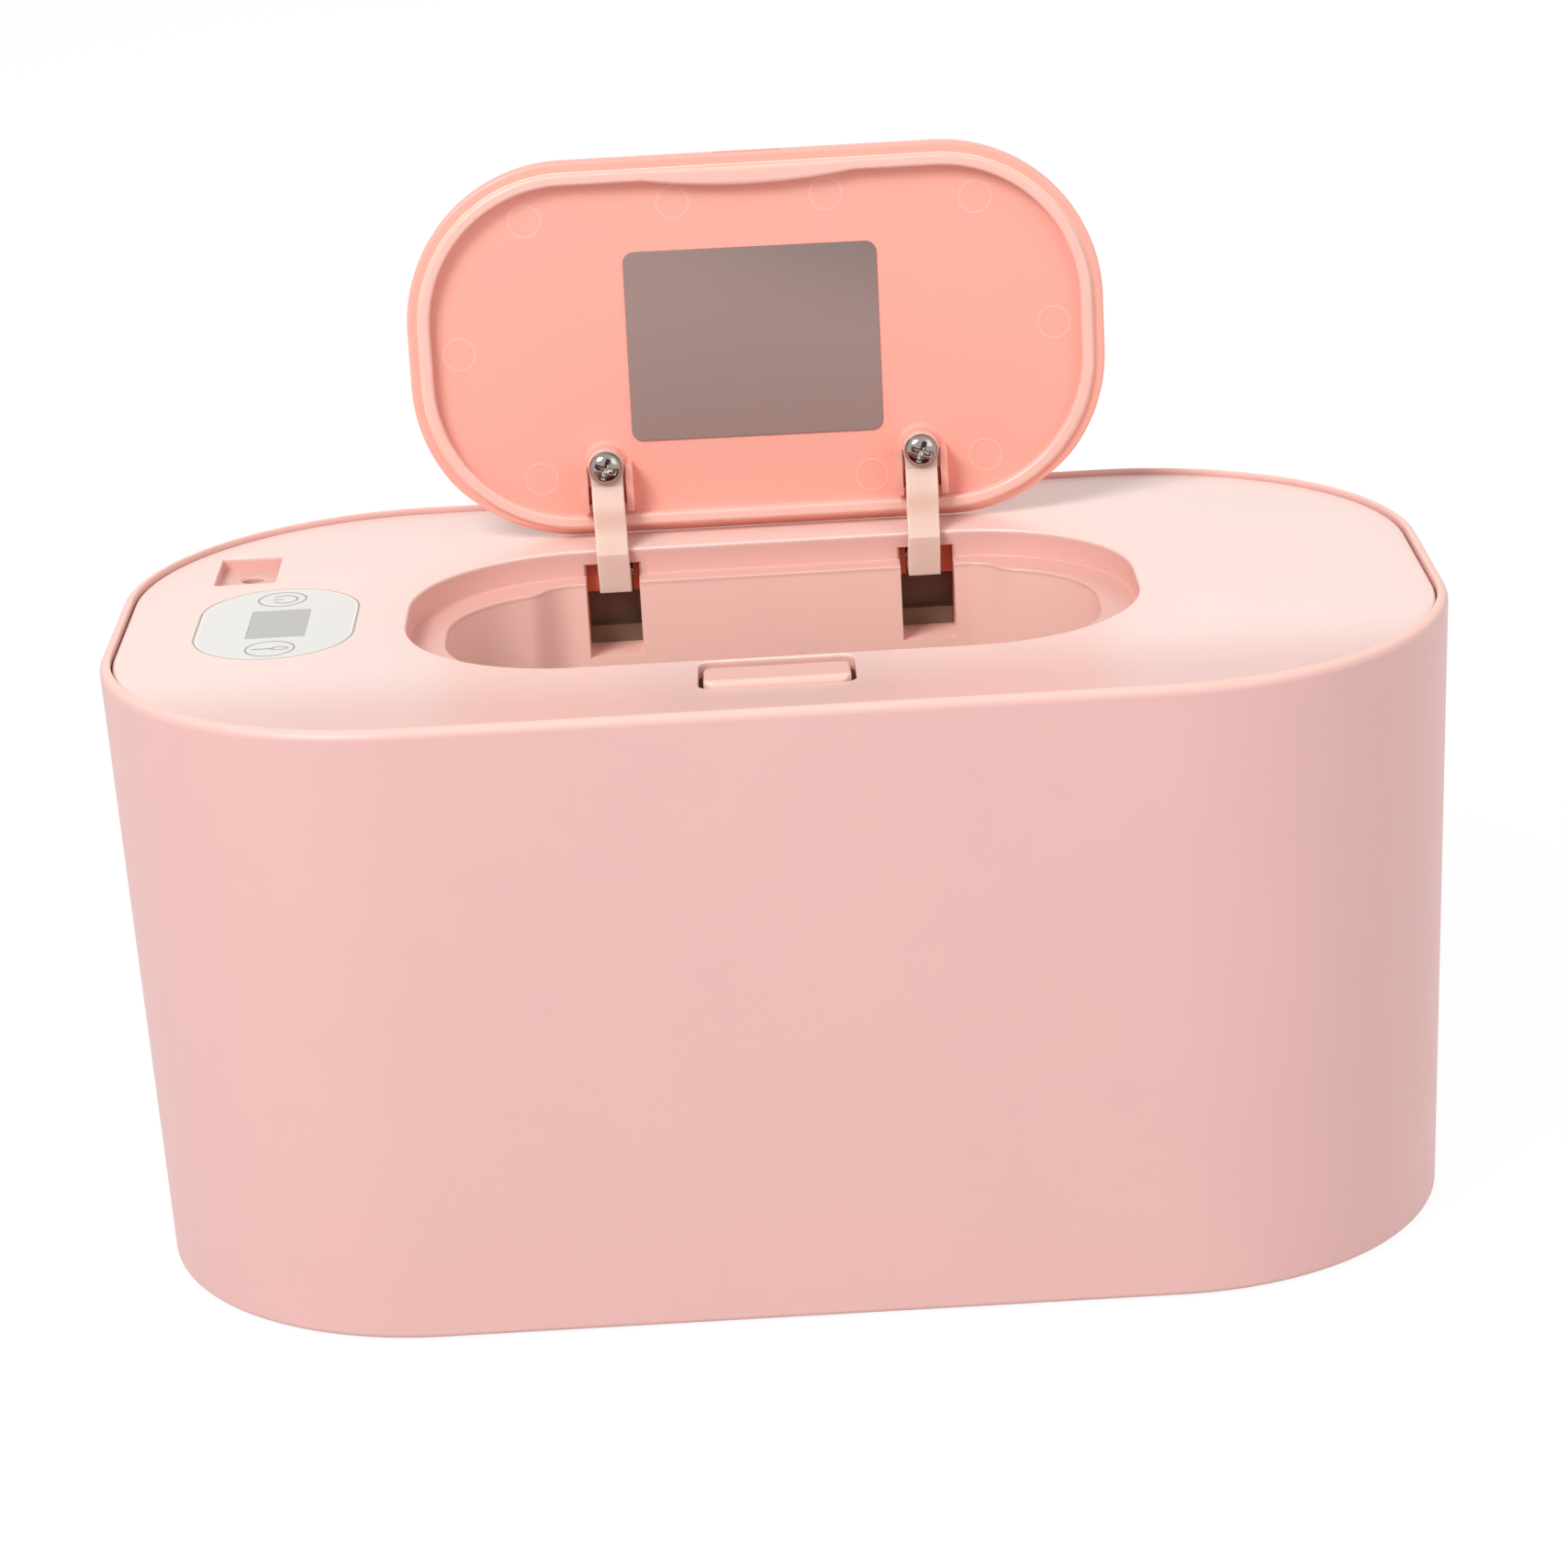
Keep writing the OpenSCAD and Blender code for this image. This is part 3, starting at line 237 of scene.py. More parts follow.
second_tone.links.new(given.outputs["First"], mixed.inputs["A"])
second_tone.links.new(given.outputs["Second"], mixed.inputs["B"])
second_tone.links.new(mixed.outputs["Result"], result.inputs["Colour"])


def paint_light(material, second, along, start, end):
    """Paints light and shade into a plastic's colour: turns it into a second one between two distances, in
    millimetres, along a direction; a hollow is painted warmer than the open face, standing for light that
    comes back from wall to wall."""
    tree = material.node_tree
    grained = next(node for node in tree.nodes if node.type == "GROUP" and node.node_tree == skin)
    tone = tree.nodes.new("ShaderNodeGroup")
    tone.node_tree = second_tone
    if grained.inputs["Colour"].links:
        tree.links.new(grained.inputs["Colour"].links[0].from_socket, tone.inputs["First"])
    else:
        tone.inputs["First"].default_value = grained.inputs["Colour"].default_value
    tone.inputs["Second"].default_value = second
    tone.inputs["Along"].default_value = along
    tone.inputs["Start"].default_value = start / 1000
    tone.inputs["End"].default_value = end / 1000
    tree.links.new(tone.outputs["Colour"], grained.inputs["Colour"])
    return material


def dress(piece, body, slot, material, *replaced):
    """Gives a finished piece its material and its body, and hides the CAD nodes it stands for. The slot is
    not used.
    """
    piece.data.materials.clear()
    piece.data.materials.append(material)
    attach(piece, body)
    if replaced:
        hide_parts(*replaced)
    return piece


tub_low, tub_high = span("outer_tub")
tub_w, tub_d = (tub_high - tub_low)[:2]
rim_z = tub_high[2]
base_z = tub_low[2]
tub_corner = 52.5
tub_draft = 2.8
tub_wall = 2.2
tub_floor = 2.5
floor_round = 2
base_round = 1.0
rim_t = 1.8
rim_round = 1.6
rim_inner_round = 0.15
shoulder_w = 2.5
shoulder_z = 105.45
shoulder_t = 1.2
top_draft = 0.05 * tub_draft
cap_inset = 30

tub_line = rounded(tub_w, tub_d, tub_corner, steps=40)
shoulder = -rim_t - shoulder_w
inner_top = -tub_wall - top_draft
inner_low = -tub_draft - tub_wall
slope_z = shoulder_z - shoulder_t - (inner_top - shoulder)
floor_z = base_z + tub_floor
tub_profile = (
    [[-cap_inset, base_z]]
    + bend(-tub_draft - base_round, base_z + base_round, base_round, -90, 0)
    + bend(-rim_round, rim_z - rim_round, rim_round, 0, 90, 8)
    + bend(-rim_t + rim_inner_round, rim_z - rim_inner_round, rim_inner_round, 90, 180, 3)
    + [[-rim_t, shoulder_z], [shoulder, shoulder_z], [shoulder, shoulder_z - shoulder_t]]
    + [[inner_top, slope_z]]
    + bend(inner_low - floor_round, floor_z + floor_round, floor_round, 0, -90)
    + [[-cap_inset, floor_z]])
tub = shade(solid("tub", carried(tub_line, tub_profile)))
tub_pink = moulded("tub_pink", linear(232, 184, 179), roughness=0.42)
upwards, downwards, forwards = (0, 0, 1), (0, 0, -1), (0, -1, 0)
# The rim's top is painted paler: a painted highlight, as the thin rim catches the light and lets it through.
rim_highlight_below, rim_highlight_top = 1.0, 0.1
paint_light(tub_pink, linear(246, 200, 187), upwards, rim_z - rim_highlight_below, rim_z - rim_highlight_top)
dress(tub, "tub", "tub_pink", tub_pink, "outer_tub")


# ---- Rubber feet ----
# Four round pads of soft dark rubber, moulded with a dished face and a small round edge, and glued
# into shallow sinks in the tub's underside.

def circle(x, y, steps=48):
    """A circle of no radius at (x, y), whose profile gives the radius."""
    a = np.linspace(0, 2 * np.pi, steps, endpoint=False)
    normal = np.stack([np.cos(a), np.sin(a)], 1)
    return np.tile([x, y], (steps, 1)).astype(float), normal


foot_core, foot_dish, foot_dish_edge, foot_land, foot_soft = 1.2, 0.35, 2.4, 2.0, 0.3
foot_rubber = moulded("foot_rubber", linear(58, 55, 54), roughness=0.75, depth=0.01)
for foot in ["foot_front_left", "foot_front_right", "foot_back_left", "foot_back_right"]:
    low, high = span(foot)
    r = (high - low)[0] / 2
    x, y = (low + high)[:2] / 2
    foot_profile = ([[foot_core, foot_dish], [r - foot_dish_edge, foot_dish], [r - foot_land, 0.0]]
                    + bend(r - foot_soft, foot_soft, foot_soft, -90, 0, 4)
                    + [[r, high[2]], [foot_core, high[2]]])
    disc = shade(solid(foot + "_disc", carried(circle(x, y), foot_profile)))
    dress(disc, "tub", "foot_rubber", foot_rubber, foot)


# ---- Top deck ----
# The cover's top is one moulding of pink ABS: the flat deck, the recess and shelf that the lid closes
# into, the chute that the wipes come up through, two hinge pockets and the socket's recess. Its colour is
# painted paler than the tub's: painted light, as the top takes more light than the walls.

def chute_line(steps=10):
    """The chute's outline: quarter circles at the box's front corners, and on each side of the bulge
    an arc of the box's corner, a hollow arc that touches it, and an arc of the bulge's corner."""
    box = np.array([chute_w / 2 - chute_r, chute_step - chute_r])
    bulge = np.array([bulge_half, chute_back - bend_r])
    gap = bulge - box
    reach = np.hypot(*gap)
    along = ((chute_r + bend_r) ** 2 - 4 * bend_r ** 2 + reach ** 2) / (2 * reach)
    u = gap / reach
    hollow = box + along * u + np.sqrt((chute_r + bend_r) ** 2 - along ** 2) * np.array([u[1], -u[0]])
    meet_box = np.arctan2(*(hollow - box)[::-1])
    meet_bulge = np.arctan2(*(hollow - bulge)[::-1])
    front = np.linspace(-np.pi / 2, 0, 2 * steps + 1)
    side = np.linspace(0, meet_box, 2 * steps + 1)
    dip = np.linspace(meet_box + np.pi, meet_bulge + np.pi, steps + 1)
    top = np.linspace(meet_bulge, np.pi / 2, steps + 1)
    arcs = [([box[0], chute_front + chute_r], chute_r, front, 1), (box, chute_r, side, 1),
            (hollow, bend_r, dip, -1), (bulge, bend_r, top, 1)]
    plan, normal = [], []
    for centre, r, a, facing in arcs:
        n = np.stack([np.cos(a), np.sin(a)], 1)
        plan.append(np.array(centre) + r * n)
        normal.append(facing * n)
    plan, normal = np.concatenate(plan), np.concatenate(normal)
    mirror = np.array([-1, 1])
    return np.concatenate([plan, plan[::-1] * mirror]), np.concatenate([normal, normal[::-1] * mirror])


def apply_modifiers(piece):
    """Puts what the modifiers make of a piece into its mesh, and takes them off."""
    view = bpy.context.evaluated_depsgraph_get()
    made = bpy.data.meshes.new_from_object(piece.evaluated_get(view))
    piece.modifiers.clear()
    piece.data = made


def combine(piece, tools, operation):
    """Joins tools to a piece or cuts them out of it, and removes them."""
    for tool in tools:
        step = piece.modifiers.new("step", "BOOLEAN")
        step.operation = operation
        step.solver = "EXACT"
        step.object = tool
    apply_modifiers(piece)
    for tool in tools:
        bpy.data.objects.remove(tool)
    return piece


def block(name, low, high):
    """A plain box between two corners, used as a cutting tool or joined into a moulding."""
    low, high = np.array(low, float), np.array(high, float)
    middle, size = (low + high) / 2, high - low
    corners = np.array([[-1, -1], [1, -1], [1, 1], [-1, 1]]) / 2 * size[:2] + middle[:2]
    return solid(name, carried((corners, np.zeros((4, 2))), [[0, low[2]], [0, high[2]]]))


def opening(name, line, low, top, edge, corner=0.0):
    """A tool that cuts a hole: straight up from low, and flared at top so that the rim of the hole is
    rounded to the radius edge. corner rounds the hole's floor."""
    floor = bend(-corner, low + corner, corner, -90, 0) if corner else [[0, low]]
    flare = bend(edge, top - edge, edge, 180, 90)
    return solid(name, carried(line, floor + flare + [[edge, top + 2 * past]]))


deck_low_corner, deck_high_corner = span("top_deck")
deck_z = deck_high_corner[2]
chute_low = deck_low_corner[2]
past, overlap = 1, 0.5  # how far a cutting tool stands out, and a joined wall is sunk in
deck_t = 2.5
deck_low = deck_z - deck_t
deck_edge = 0.5
rim_gap = 0.3
recess_w, recess_d, recess_r, recess_y = 127, 70, 30, -0.8
recess_depth, shelf_t = 4.95, 2
shelf_side, shelf_front, shelf_back, shelf_bulge = 6.4, 13.3, 8.5, 4.3
recess_front = recess_y - recess_d / 2
recess_back = recess_y + recess_d / 2
shelf_z = deck_z - recess_depth
shelf_low = shelf_z - shelf_t
mould_wall = 1.8
chute_w = recess_w - 2 * shelf_side
chute_front = recess_front + shelf_front
chute_step = recess_back - shelf_back
chute_back = recess_back - shelf_bulge
chute_r = 21
bulge_half = 35.3
bend_r = 6.5
recess_edge = 0.4
chute_edge = 0.45
recess_foot = 0.15

deck_out = -rim_t - rim_gap
recess_line = rounded(recess_w, recess_d, recess_r, 0, recess_y, steps=32)
chute_outline = chute_line()
deck_profile = [[deck_out, deck_low]] + bend(deck_out - deck_edge, deck_z - deck_edge, deck_edge, 0, 90)
deck = solid("deck", carried(tub_line, deck_profile))
tray_profile = [[mould_wall, shelf_low], [mould_wall, deck_low + overlap]]
tube_profile = [[mould_wall, chute_low], [mould_wall, shelf_low + overlap]]
walls = [solid("recess_tray", carried(recess_line, tray_profile)),
         solid("chute_tube", carried(chute_outline, tube_profile))]

hinge = next(joint for joint in frame["joints"] if joint["name"] == "lid_hinge")
hinge_y, hinge_z = np.array(hinge["pos_m"])[1:] * 1000
pocket_span, pocket_w, pocket_wall, pocket_soft = 57.0, 9.7, 1.5, 0.4
pocket_z = deck_z - 19.1
pocket_top = deck_z - 2.65
pocket_back = hinge_y + 2.6
insert_t = 1.5
lug_y = hinge_y - 2.3
lug_z = hinge_z - 3
arm_slot = 6.4
arm_span = 56.2
for side in (-1, 1):
    x = side * pocket_span / 2
    reach = pocket_w / 2 + pocket_wall
    walls.append(block("pocket_housing", [x - reach, chute_back, pocket_z - pocket_wall],
                       [x + reach, pocket_back + insert_t, deck_low + overlap]))

socket_x, socket_y, socket_w, socket_l = -94.3, 33.7, 11.0, 17.4
socket_z = deck_z - 2.2
socket_floor = 1.8
socket_corner = 3.6
plug_x, plug_y = socket_x + 0.5, socket_y + 1.5
plug_r, plug_flare = 2.0, 0.4
walls.append(solid("socket_box", carried(
    rounded(socket_w + 2 * socket_floor, socket_l + 2 * socket_floor, socket_corner, socket_x, socket_y, 8),
    [[0, socket_z - socket_floor], [0, deck_low + overlap]])))
combine(deck, walls, "UNION")

cuts = [opening("recess_cut", recess_line, shelf_z, deck_z, recess_edge, corner=recess_foot),
        opening("chute_cut", chute_outline, chute_low - past, shelf_z, chute_edge)]
for side in (-1, 1):
    x = side * pocket_span / 2
    arm_x = side * arm_span / 2
    half = pocket_w / 2
    cuts.append(block("pocket_mouth", [x - half, recess_y, pocket_z], [x + half, lug_y, pocket_top]))
    mouth = recess_back - 0.01
    flare = np.array([[x - half - pocket_soft, mouth], [x + half + pocket_soft, mouth],
                      [x + half, recess_back + pocket_soft], [x - half, recess_back + pocket_soft]])
    cuts.append(solid("mouth_flare", carried((flare, np.zeros((4, 2))), [[0, shelf_z], [0, pocket_top]])))
    cuts.append(block("pocket_foot", [x - half, recess_y, pocket_z],
                      [x + half, pocket_back + insert_t + past, lug_z]))
    cuts.append(block("arm_slot", [arm_x - arm_slot / 2, recess_y, pocket_z],
                      [arm_x + arm_slot / 2, pocket_back, pocket_top]))

well_gap, well_back_gap, well_front_gap, well_corner, well_edge = 0.85, 1.2, 0.3, 2.4, 0.3
button_w = 24.3
button_y0 = -51.6
button_y1 = -38.0
well_y0 = button_y0 - well_front_gap
well_y1 = button_y1 + well_back_gap
well_line = rounded(button_w + 2 * well_gap, well_y1 - well_y0, well_corner, 0, (well_y0 + well_y1) / 2, 8)
cuts.append(opening("well_cut", well_line, shelf_low - past, deck_z, well_edge))
latch_slot, latch_slot_top = 5.3, 107.0
cuts.append(block("latch_slot", [-latch_slot, well_y1 - past, shelf_low - past],
                  [latch_slot, well_y1 + 2 * past, latch_slot_top]))

socket_r, socket_edge = 0.6, 0.25
socket_line = rounded(socket_w, socket_l, socket_r, socket_x, socket_y, 4)
cuts.append(opening("socket_cut", socket_line, socket_z, deck_z, socket_edge))
plug_profile = [[plug_r, socket_z - socket_floor - past], [plug_r, socket_z - plug_flare],
                [plug_r + plug_flare, socket_z], [plug_r + plug_flare, socket_z + overlap]]
cuts.append(solid("plug_hole", carried(circle(plug_x, plug_y), plug_profile)))

panel_low, panel_high = span("control_panel")
panel_x, panel_y = (panel_low + panel_high)[:2] / 2
panel_w, panel_l = (panel_high - panel_low)[:2]
panel_t, panel_bed = 0.3, 0.05
panel_line = rounded(panel_w, panel_l, panel_w / 2 - 0.01, panel_x, panel_y, 32)
bed_profile = [[panel_bed, deck_z - panel_t], [panel_bed, deck_z + past]]
cuts.append(solid("panel_bed", carried(panel_line, bed_profile)))
lcd_low, lcd_high = span("display_window")
cuts.append(block("window_cut", [*lcd_low[:2], deck_low - past], [*lcd_high[:2], deck_z + past]))
combine(deck, cuts, "DIFFERENCE")
shade(deck)

# Painted light and shade on the deck: painted shade and reflection make it darker and pinker towards its
# front edge, as the glossy deck there mirrors the open lid; painted shade darkens the walls of its hollows
# below their edges; painted bounce light makes the chute paler.
front_shade_span, wall_shade_span, chute_light_span = (28, 60), (0.05, 0.9), (0.2, 1.2)
deck_pink = moulded("deck_pink", linear(243, 215, 206), roughness=0.3)
paint_light(deck_pink, linear(228, 187, 179), forwards, *front_shade_span)
paint_light(deck_pink, linear(230, 181, 171), downwards, wall_shade_span[0] - deck_z, wall_shade_span[1] - deck_z)
paint_light(deck_pink, linear(255, 208, 195), downwards, chute_light_span[0] - shelf_z, chute_light_span[1] - shelf_z)
dress(deck, "cover", "deck_pink", deck_pink, "top_deck")

# Inside the two hinge pockets the same plastic is painted coral: painted shade, warmed by light
# that bounces between the pink walls.
pocket_slack, pocket_reach = 0.02, 0.5
pocket_coral = moulded("pocket_coral", linear(236, 122, 92), roughness=0.45)
deck.data.materials.append(pocket_coral)
centre = np.empty(len(deck.data.polygons) * 3)
deck.data.polygons.foreach_get("center", centre)
centre = centre.reshape(-1, 3) * 1000
beside = np.abs(np.abs(centre[:, 0]) - pocket_span / 2) < pocket_w / 2 + pocket_slack
behind = centre[:, 1] > lug_y - pocket_reach
in_pocket = (beside & behind & (centre[:, 2] < pocket_top + pocket_slack)
             & (centre[:, 2] > pocket_z + pocket_reach))
deck.data.polygons.foreach_set("material_index", in_pocket.astype(np.int32))


# ---- Control panel ----
# A screen-printed polyester film stuck into a shallow bed in the deck: off-white, with a thin grey line
# round it, a cream line inside that, two round key symbols, and a clear grey window for the display.

def ring(x, y, r, width, low, high, steps=64):
    """A flat printed ring of mean radius r: a rectangle carried round a circle, closed on itself."""
    points, faces = carried(circle(x, y, steps), [
        [r - width / 2, low], [r + width / 2, low], [r + width / 2, high], [r - width / 2, high],
        [r - width / 2, low]])
    return points, faces[:-2]


def band(line, out, width, low, high):
    """A flat printed line along an outline, between out - width and out."""
    points, faces = carried(line, [[out - width, low], [out, low], [out, high], [out - width, high],
                                   [out - width, low]])
    return points, faces[:-2]


def stroke(path, width, low, high):
    """A flat printed stroke along an open path: width / 2 to each side of it, with square ends."""
    path = np.array(path, float)
    way = np.gradient(path, axis=0)
    way /= np.linalg.norm(way, axis=1)[:, None]
    aside = np.stack([-way[:, 1], way[:, 0]], 1) * width / 2
    loop = np.concatenate([path - aside, (path + aside)[::-1]])
    n, k = len(loop), len(path)
    points = np.concatenate([np.c_[loop, np.full(n, low)], np.c_[loop, np.full(n, high)]])
    i = np.arange(n)
    j = (i + 1) % n
    sides = np.stack([i, j, n + j, n + i], 1).tolist()
    a = np.arange(k - 1)
    cap = np.stack([a, a + 1, n - 2 - a, n - 1 - a], 1)
    return points, sides + cap[:, ::-1].tolist() + (cap + n).tolist()


film_seat, film_edge = 0.01, 0.05
film_profile = [[0, deck_z - panel_t + film_seat], [0, deck_z - film_edge], [-film_edge, deck_z]]
film = solid("panel_film", carried(panel_line, film_profile))
film_window = block("film_window", [*lcd_low[:2], deck_z - past], [*lcd_high[:2], deck_z + past])
combine(film, [film_window], "DIFFERENCE")
shade(film)
panel_film = moulded("panel_film", linear(223, 223, 218), roughness=0.3, mottle=0.01, depth=0.002)
dress(film, "cover", "panel_film", panel_film, "control_panel")

print_low, print_high = deck_z - 0.01, deck_z + 0.02
key_r, key_line = 4.2, 0.36
border_in, border_w, cream_in, cream_w = -0.1, 0.28, -0.38, 0.3
power_x, power_y = panel_x - 0.2, panel_y + 14.5
warmth_x, warmth_y = panel_x, panel_y - 14.9
sign_r, sign_shift = 2.25, 0.4
turn = np.radians(np.linspace(-142, 142, 40))
power_arc = np.stack([power_x + sign_shift + sign_r * np.cos(turn), power_y + sign_r * np.sin(turn)], 1)
power_bar = [[power_x - 1.7, power_y], [power_x + 0.3, power_y]]
bulb_l, bulb_w, bulb_x = 2.7, 1.7, warmth_x + 1.7
stem, stem_w = [[warmth_x - 3.1, warmth_y], [warmth_x + 0.5, warmth_y]], 0.5
turn = np.radians(np.linspace(-170, 170, 40))
bulb_loop = np.stack([bulb_x + bulb_l / 2 * np.cos(turn), warmth_y + bulb_w / 2 * np.sin(turn)], 1)
print_shapes = [
    band(panel_line, border_in, border_w, print_low, print_high),
    ring(power_x, power_y, key_r, key_line, print_low, print_high),
    ring(warmth_x, warmth_y, key_r, key_line, print_low, print_high),
    stroke(power_arc, key_line, print_low, print_high),
    stroke(power_bar, key_line, print_low, print_high),
    stroke(bulb_loop, key_line, print_low, print_high),
    stroke(stem, stem_w, print_low, print_high)]
marks = shade(solid("panel_print", *print_shapes))
print_grey = moulded("print_grey", linear(162, 158, 153), roughness=0.5, mottle=0.02, depth=0.001)
dress(marks, "cover", "panel_film", print_grey)
edge_line = shade(solid("panel_edge_line", band(panel_line, cream_in, cream_w, print_low, print_high)))
edge_cream = moulded("edge_cream", linear(250, 240, 226), roughness=0.35, mottle=0.01, depth=0.001)
dress(edge_line, "cover", "panel_film", edge_cream)

lens_gap, lens_r, lens_edge, lens_sink = 0.04, 0.3, 0.07, 0.01
lens_line = rounded(*(lcd_high - lcd_low)[:2] - lens_gap, lens_r, *(lcd_low + lcd_high)[:2] / 2, 4)
lens_profile = [[0, deck_z - panel_t + film_seat], [0, deck_z - lens_edge], [-lens_edge, deck_z - lens_sink]]
window = shade(solid("display_lens", carried(lens_line, lens_profile)))
window_grey = moulded("window_grey", linear(176, 175, 170), roughness=0.16, mottle=0.01, depth=0.001)
dress(window, "cover", "window_grey", window_grey, "display_window")


# ---- Release button ----
# A wedge-shaped key of the deck's plastic, moulded with soft edges. Its front stands above the deck and
# its back lies below it; two slanting legs under it work the latch.

def key(name, line, centre, top, low, edge, rows=14, edge_rows=7):
    """A key: straight sides from low up to top(y), an edge rounded to the radius edge, and a crown of
    rows drawn in towards the centre, point = centre + s (line - centre), at top(y)."""
    plan, normal = line
    a = np.radians(np.linspace(0, 90, edge_rows))
    out = np.concatenate([[0], edge * (np.cos(a) - 1)])
    drop = np.concatenate([[0], edge * (1 - np.sin(a))])
    side = plan[None] + out[:, None, None] * normal[None]
    inner = side[-1] - centre
    crown = centre + np.linspace(0.97, 0.03, rows)[:, None, None] * inner[None]
    xy = np.concatenate([side, crown])
    z = top(xy[..., 1])
    z[1:edge_rows + 1] -= drop[1:, None]
    z[0] = low
    points = np.concatenate([xy, z[..., None]], 2).reshape(-1, 3)
    return solid(name, (points, net(len(xy), len(plan))))


button_high_front, button_low_back = 1.0, 0.8
key_nose, key_nose_fall, key_edge, key_corner, key_h = 1.3, 1.2, 0.55, 1.8, 5.5


def key_top(y):
    """Height of the key's crown: a slope from the nose's top down to the back, and in front of it a
    quarter ellipse that falls away to the front edge."""
    ridge = button_y0 + key_nose
    fall = (button_high_front + button_low_back) / (button_y1 - ridge)
    slope = deck_z + button_high_front - fall * (y - ridge)
    ahead = np.clip((ridge - y) / key_nose, 0, 1)
    return slope - key_nose_fall * (1 - np.sqrt(1 - ahead ** 2))


button_y = (button_y0 + button_y1) / 2
button_line = rounded(button_w, button_y1 - button_y0, key_corner, 0, button_y, 10)
button = shade(key("button", button_line, np.array([0, button_y]), key_top, deck_z - key_h, key_edge))
# The key is coloured pinker and darker than the deck it is moulded from: painted shade, matching the shade
# painted on the deck's front.
button_pink = moulded("button_pink", linear(240, 199, 185), roughness=0.34)
dress(button, "button", "deck_pink", button_pink, "release_button")


# ---- Lid ----
# The lid is moulded in pink ABS, coloured deeper and more saturated than the deck and tub: painted light,
# standing for light that bounces inside the pink plastic of the open lid. Its inner face, which shows while
# it stands open, has a lip round it, two bosses with channels for the hinge arms, and the faint rings of
# the ejector pins.

lid_open = hinge["range_deg"][1]


def opened(shape):
    """Turns a shape from the shut lid to the open one: by lid_open backwards about the hinge's axis."""
    points, faces = shape
    a = -np.radians(lid_open)
    y, z = points[:, 1] - hinge_y, points[:, 2] - hinge_z
    turned = np.stack([points[:, 0], hinge_y + y * np.cos(a) - z * np.sin(a),
                       hinge_z + y * np.sin(a) + z * np.cos(a)], 1)
    return turned, faces


def relieved(shape):
    """Draws the lid's back in so that it clears the recess as it swings: a point nearer the hinge's
    axis than the recess's top edge at its x, plus a gap, is moved straight out to that distance."""
    points, faces = shape
    side = np.clip(np.abs(points[:, 0]) - (recess_w / 2 - recess_r), 0, recess_r)
    edge_y = hinge_y - (recess_back - recess_r) - np.sqrt(recess_r ** 2 - side ** 2)
    keep = np.hypot(edge_y, deck_z - hinge_z) + relief_gap
    y, z = points[:, 1] - hinge_y, points[:, 2] - hinge_z
    push = np.maximum(keep / np.maximum(np.hypot(y, z), 0.1), 1)
    return np.stack([points[:, 0], hinge_y + y * push, hinge_z + z * push], 1), faces


lid_gap, lid_t, lid_edge = 0.5, 1.9, 0.6
lip_w, lip_h, lip_round, lip_outer_round, lip_foot = 2.0, 1.45, 0.2, 0.7, 0.3
relief_gap = 0.15
cap_in, lid_steps = 12, 40
lid_in = deck_z - lid_t
lip_z = lid_in - lip_h
lid_line = rounded(recess_w - 2 * lid_gap, recess_d - 2 * lid_gap, recess_r - lid_gap, 0, recess_y,
                   lid_steps)
side_z = np.linspace(deck_z - lid_edge - 0.1, lip_z + lip_outer_round + 0.1, 7)
lid_profile = (
    [[-cap_in, deck_z]] + bend(-lid_edge, deck_z - lid_edge, lid_edge, 90, 0)
    + [[0, z] for z in side_z]
    + bend(-lip_outer_round, lip_z + lip_outer_round, lip_outer_round, 0, -90, 6)
    + bend(-lip_w + lip_round, lip_z + lip_round, lip_round, -90, -180, 4)
    + bend(-lip_w - lip_foot, lid_in - lip_foot, lip_foot, 0, 90, 3)
    + [[-cap_in, lid_in]])
lid = solid("lid", opened(relieved(carried(lid_line, lid_profile))))

arm_low = hinge_z - 8.6
arm_t, arm_w, arm_reach, arm_crank, arm_splay = 2.2, 5.8, 19.7, 6.3, 0.55
arm_high = arm_low + arm_t
pad_low = arm_low + arm_crank
pad_high = pad_low + arm_t
screw_y = hinge_y - arm_reach
channel_w, channel_l, channel_wall, channel_low = 9.5, 8.4, 1.3, pad_low + 1.1
channel_corner = 0.3
boss_r, boss_core, boss_edge, boss_lean, boss_flare, boss_foot = 3.2, 0.2, 0.3, 0.1, 0.7, 0.8


def lid_box(low, high, soft=0.0):
    """A block in the shut lid's place, turned open. Its plan has corners of radius soft."""
    low, high = np.array(low, float), np.array(high, float)
    size, middle = high - low, (low + high) / 2
    line = rounded(size[0], size[1], max(soft, 0.01), middle[0], middle[1], 4)
    return solid("lid_box", opened(carried(line, [[0, low[2]], [0, high[2]]])))


boss_gap = 0.6
bosses, hollows = [], []
for side in (-1, 1):
    x = side * (arm_span / 2 + arm_splay)
    w, inside = channel_w / 2, channel_w / 2 - channel_wall
    bosses.append(lid_box([x - w, screw_y, channel_low], [x + w, screw_y + channel_l, lid_in + overlap],
                          channel_corner))
    boss_profile = [[boss_core, pad_high], [boss_r - boss_edge, pad_high], [boss_r, pad_high + boss_edge],
                    [boss_r + boss_lean, lid_in - boss_foot], [boss_r + boss_flare, lid_in],
                    [boss_r + boss_flare, lid_in + overlap], [boss_core, lid_in + overlap]]
    bosses.append(solid("boss", opened(carried(circle(x, screw_y), boss_profile))))
    hollows.append(lid_box([x - inside, screw_y + boss_r + boss_gap, channel_low - 2 * past],
                           [x + inside, screw_y + channel_l - channel_wall, lid_in]))
    hollows.append(lid_box([x - inside, screw_y - past, channel_low - 2 * past],
                           [x + inside, screw_y + channel_l + past, pad_high]))
combine(lid, bosses, "UNION")
catch_half, catch_depth, catch_h = 6.2, 1.35, 1.4
catch_low = lip_z + 0.7
hollows.append(lid_box([-catch_half, recess_front, catch_low],
                       [catch_half, recess_front + catch_depth, catch_low + catch_h]))
combine(lid, hollows, "DIFFERENCE")
shade(lid)
lid_pink = moulded("lid_pink", linear(250, 176, 160), roughness=0.38, mottle=0.03)
dress(lid, "lid", "lid_pink", lid_pink, "lid_shell")

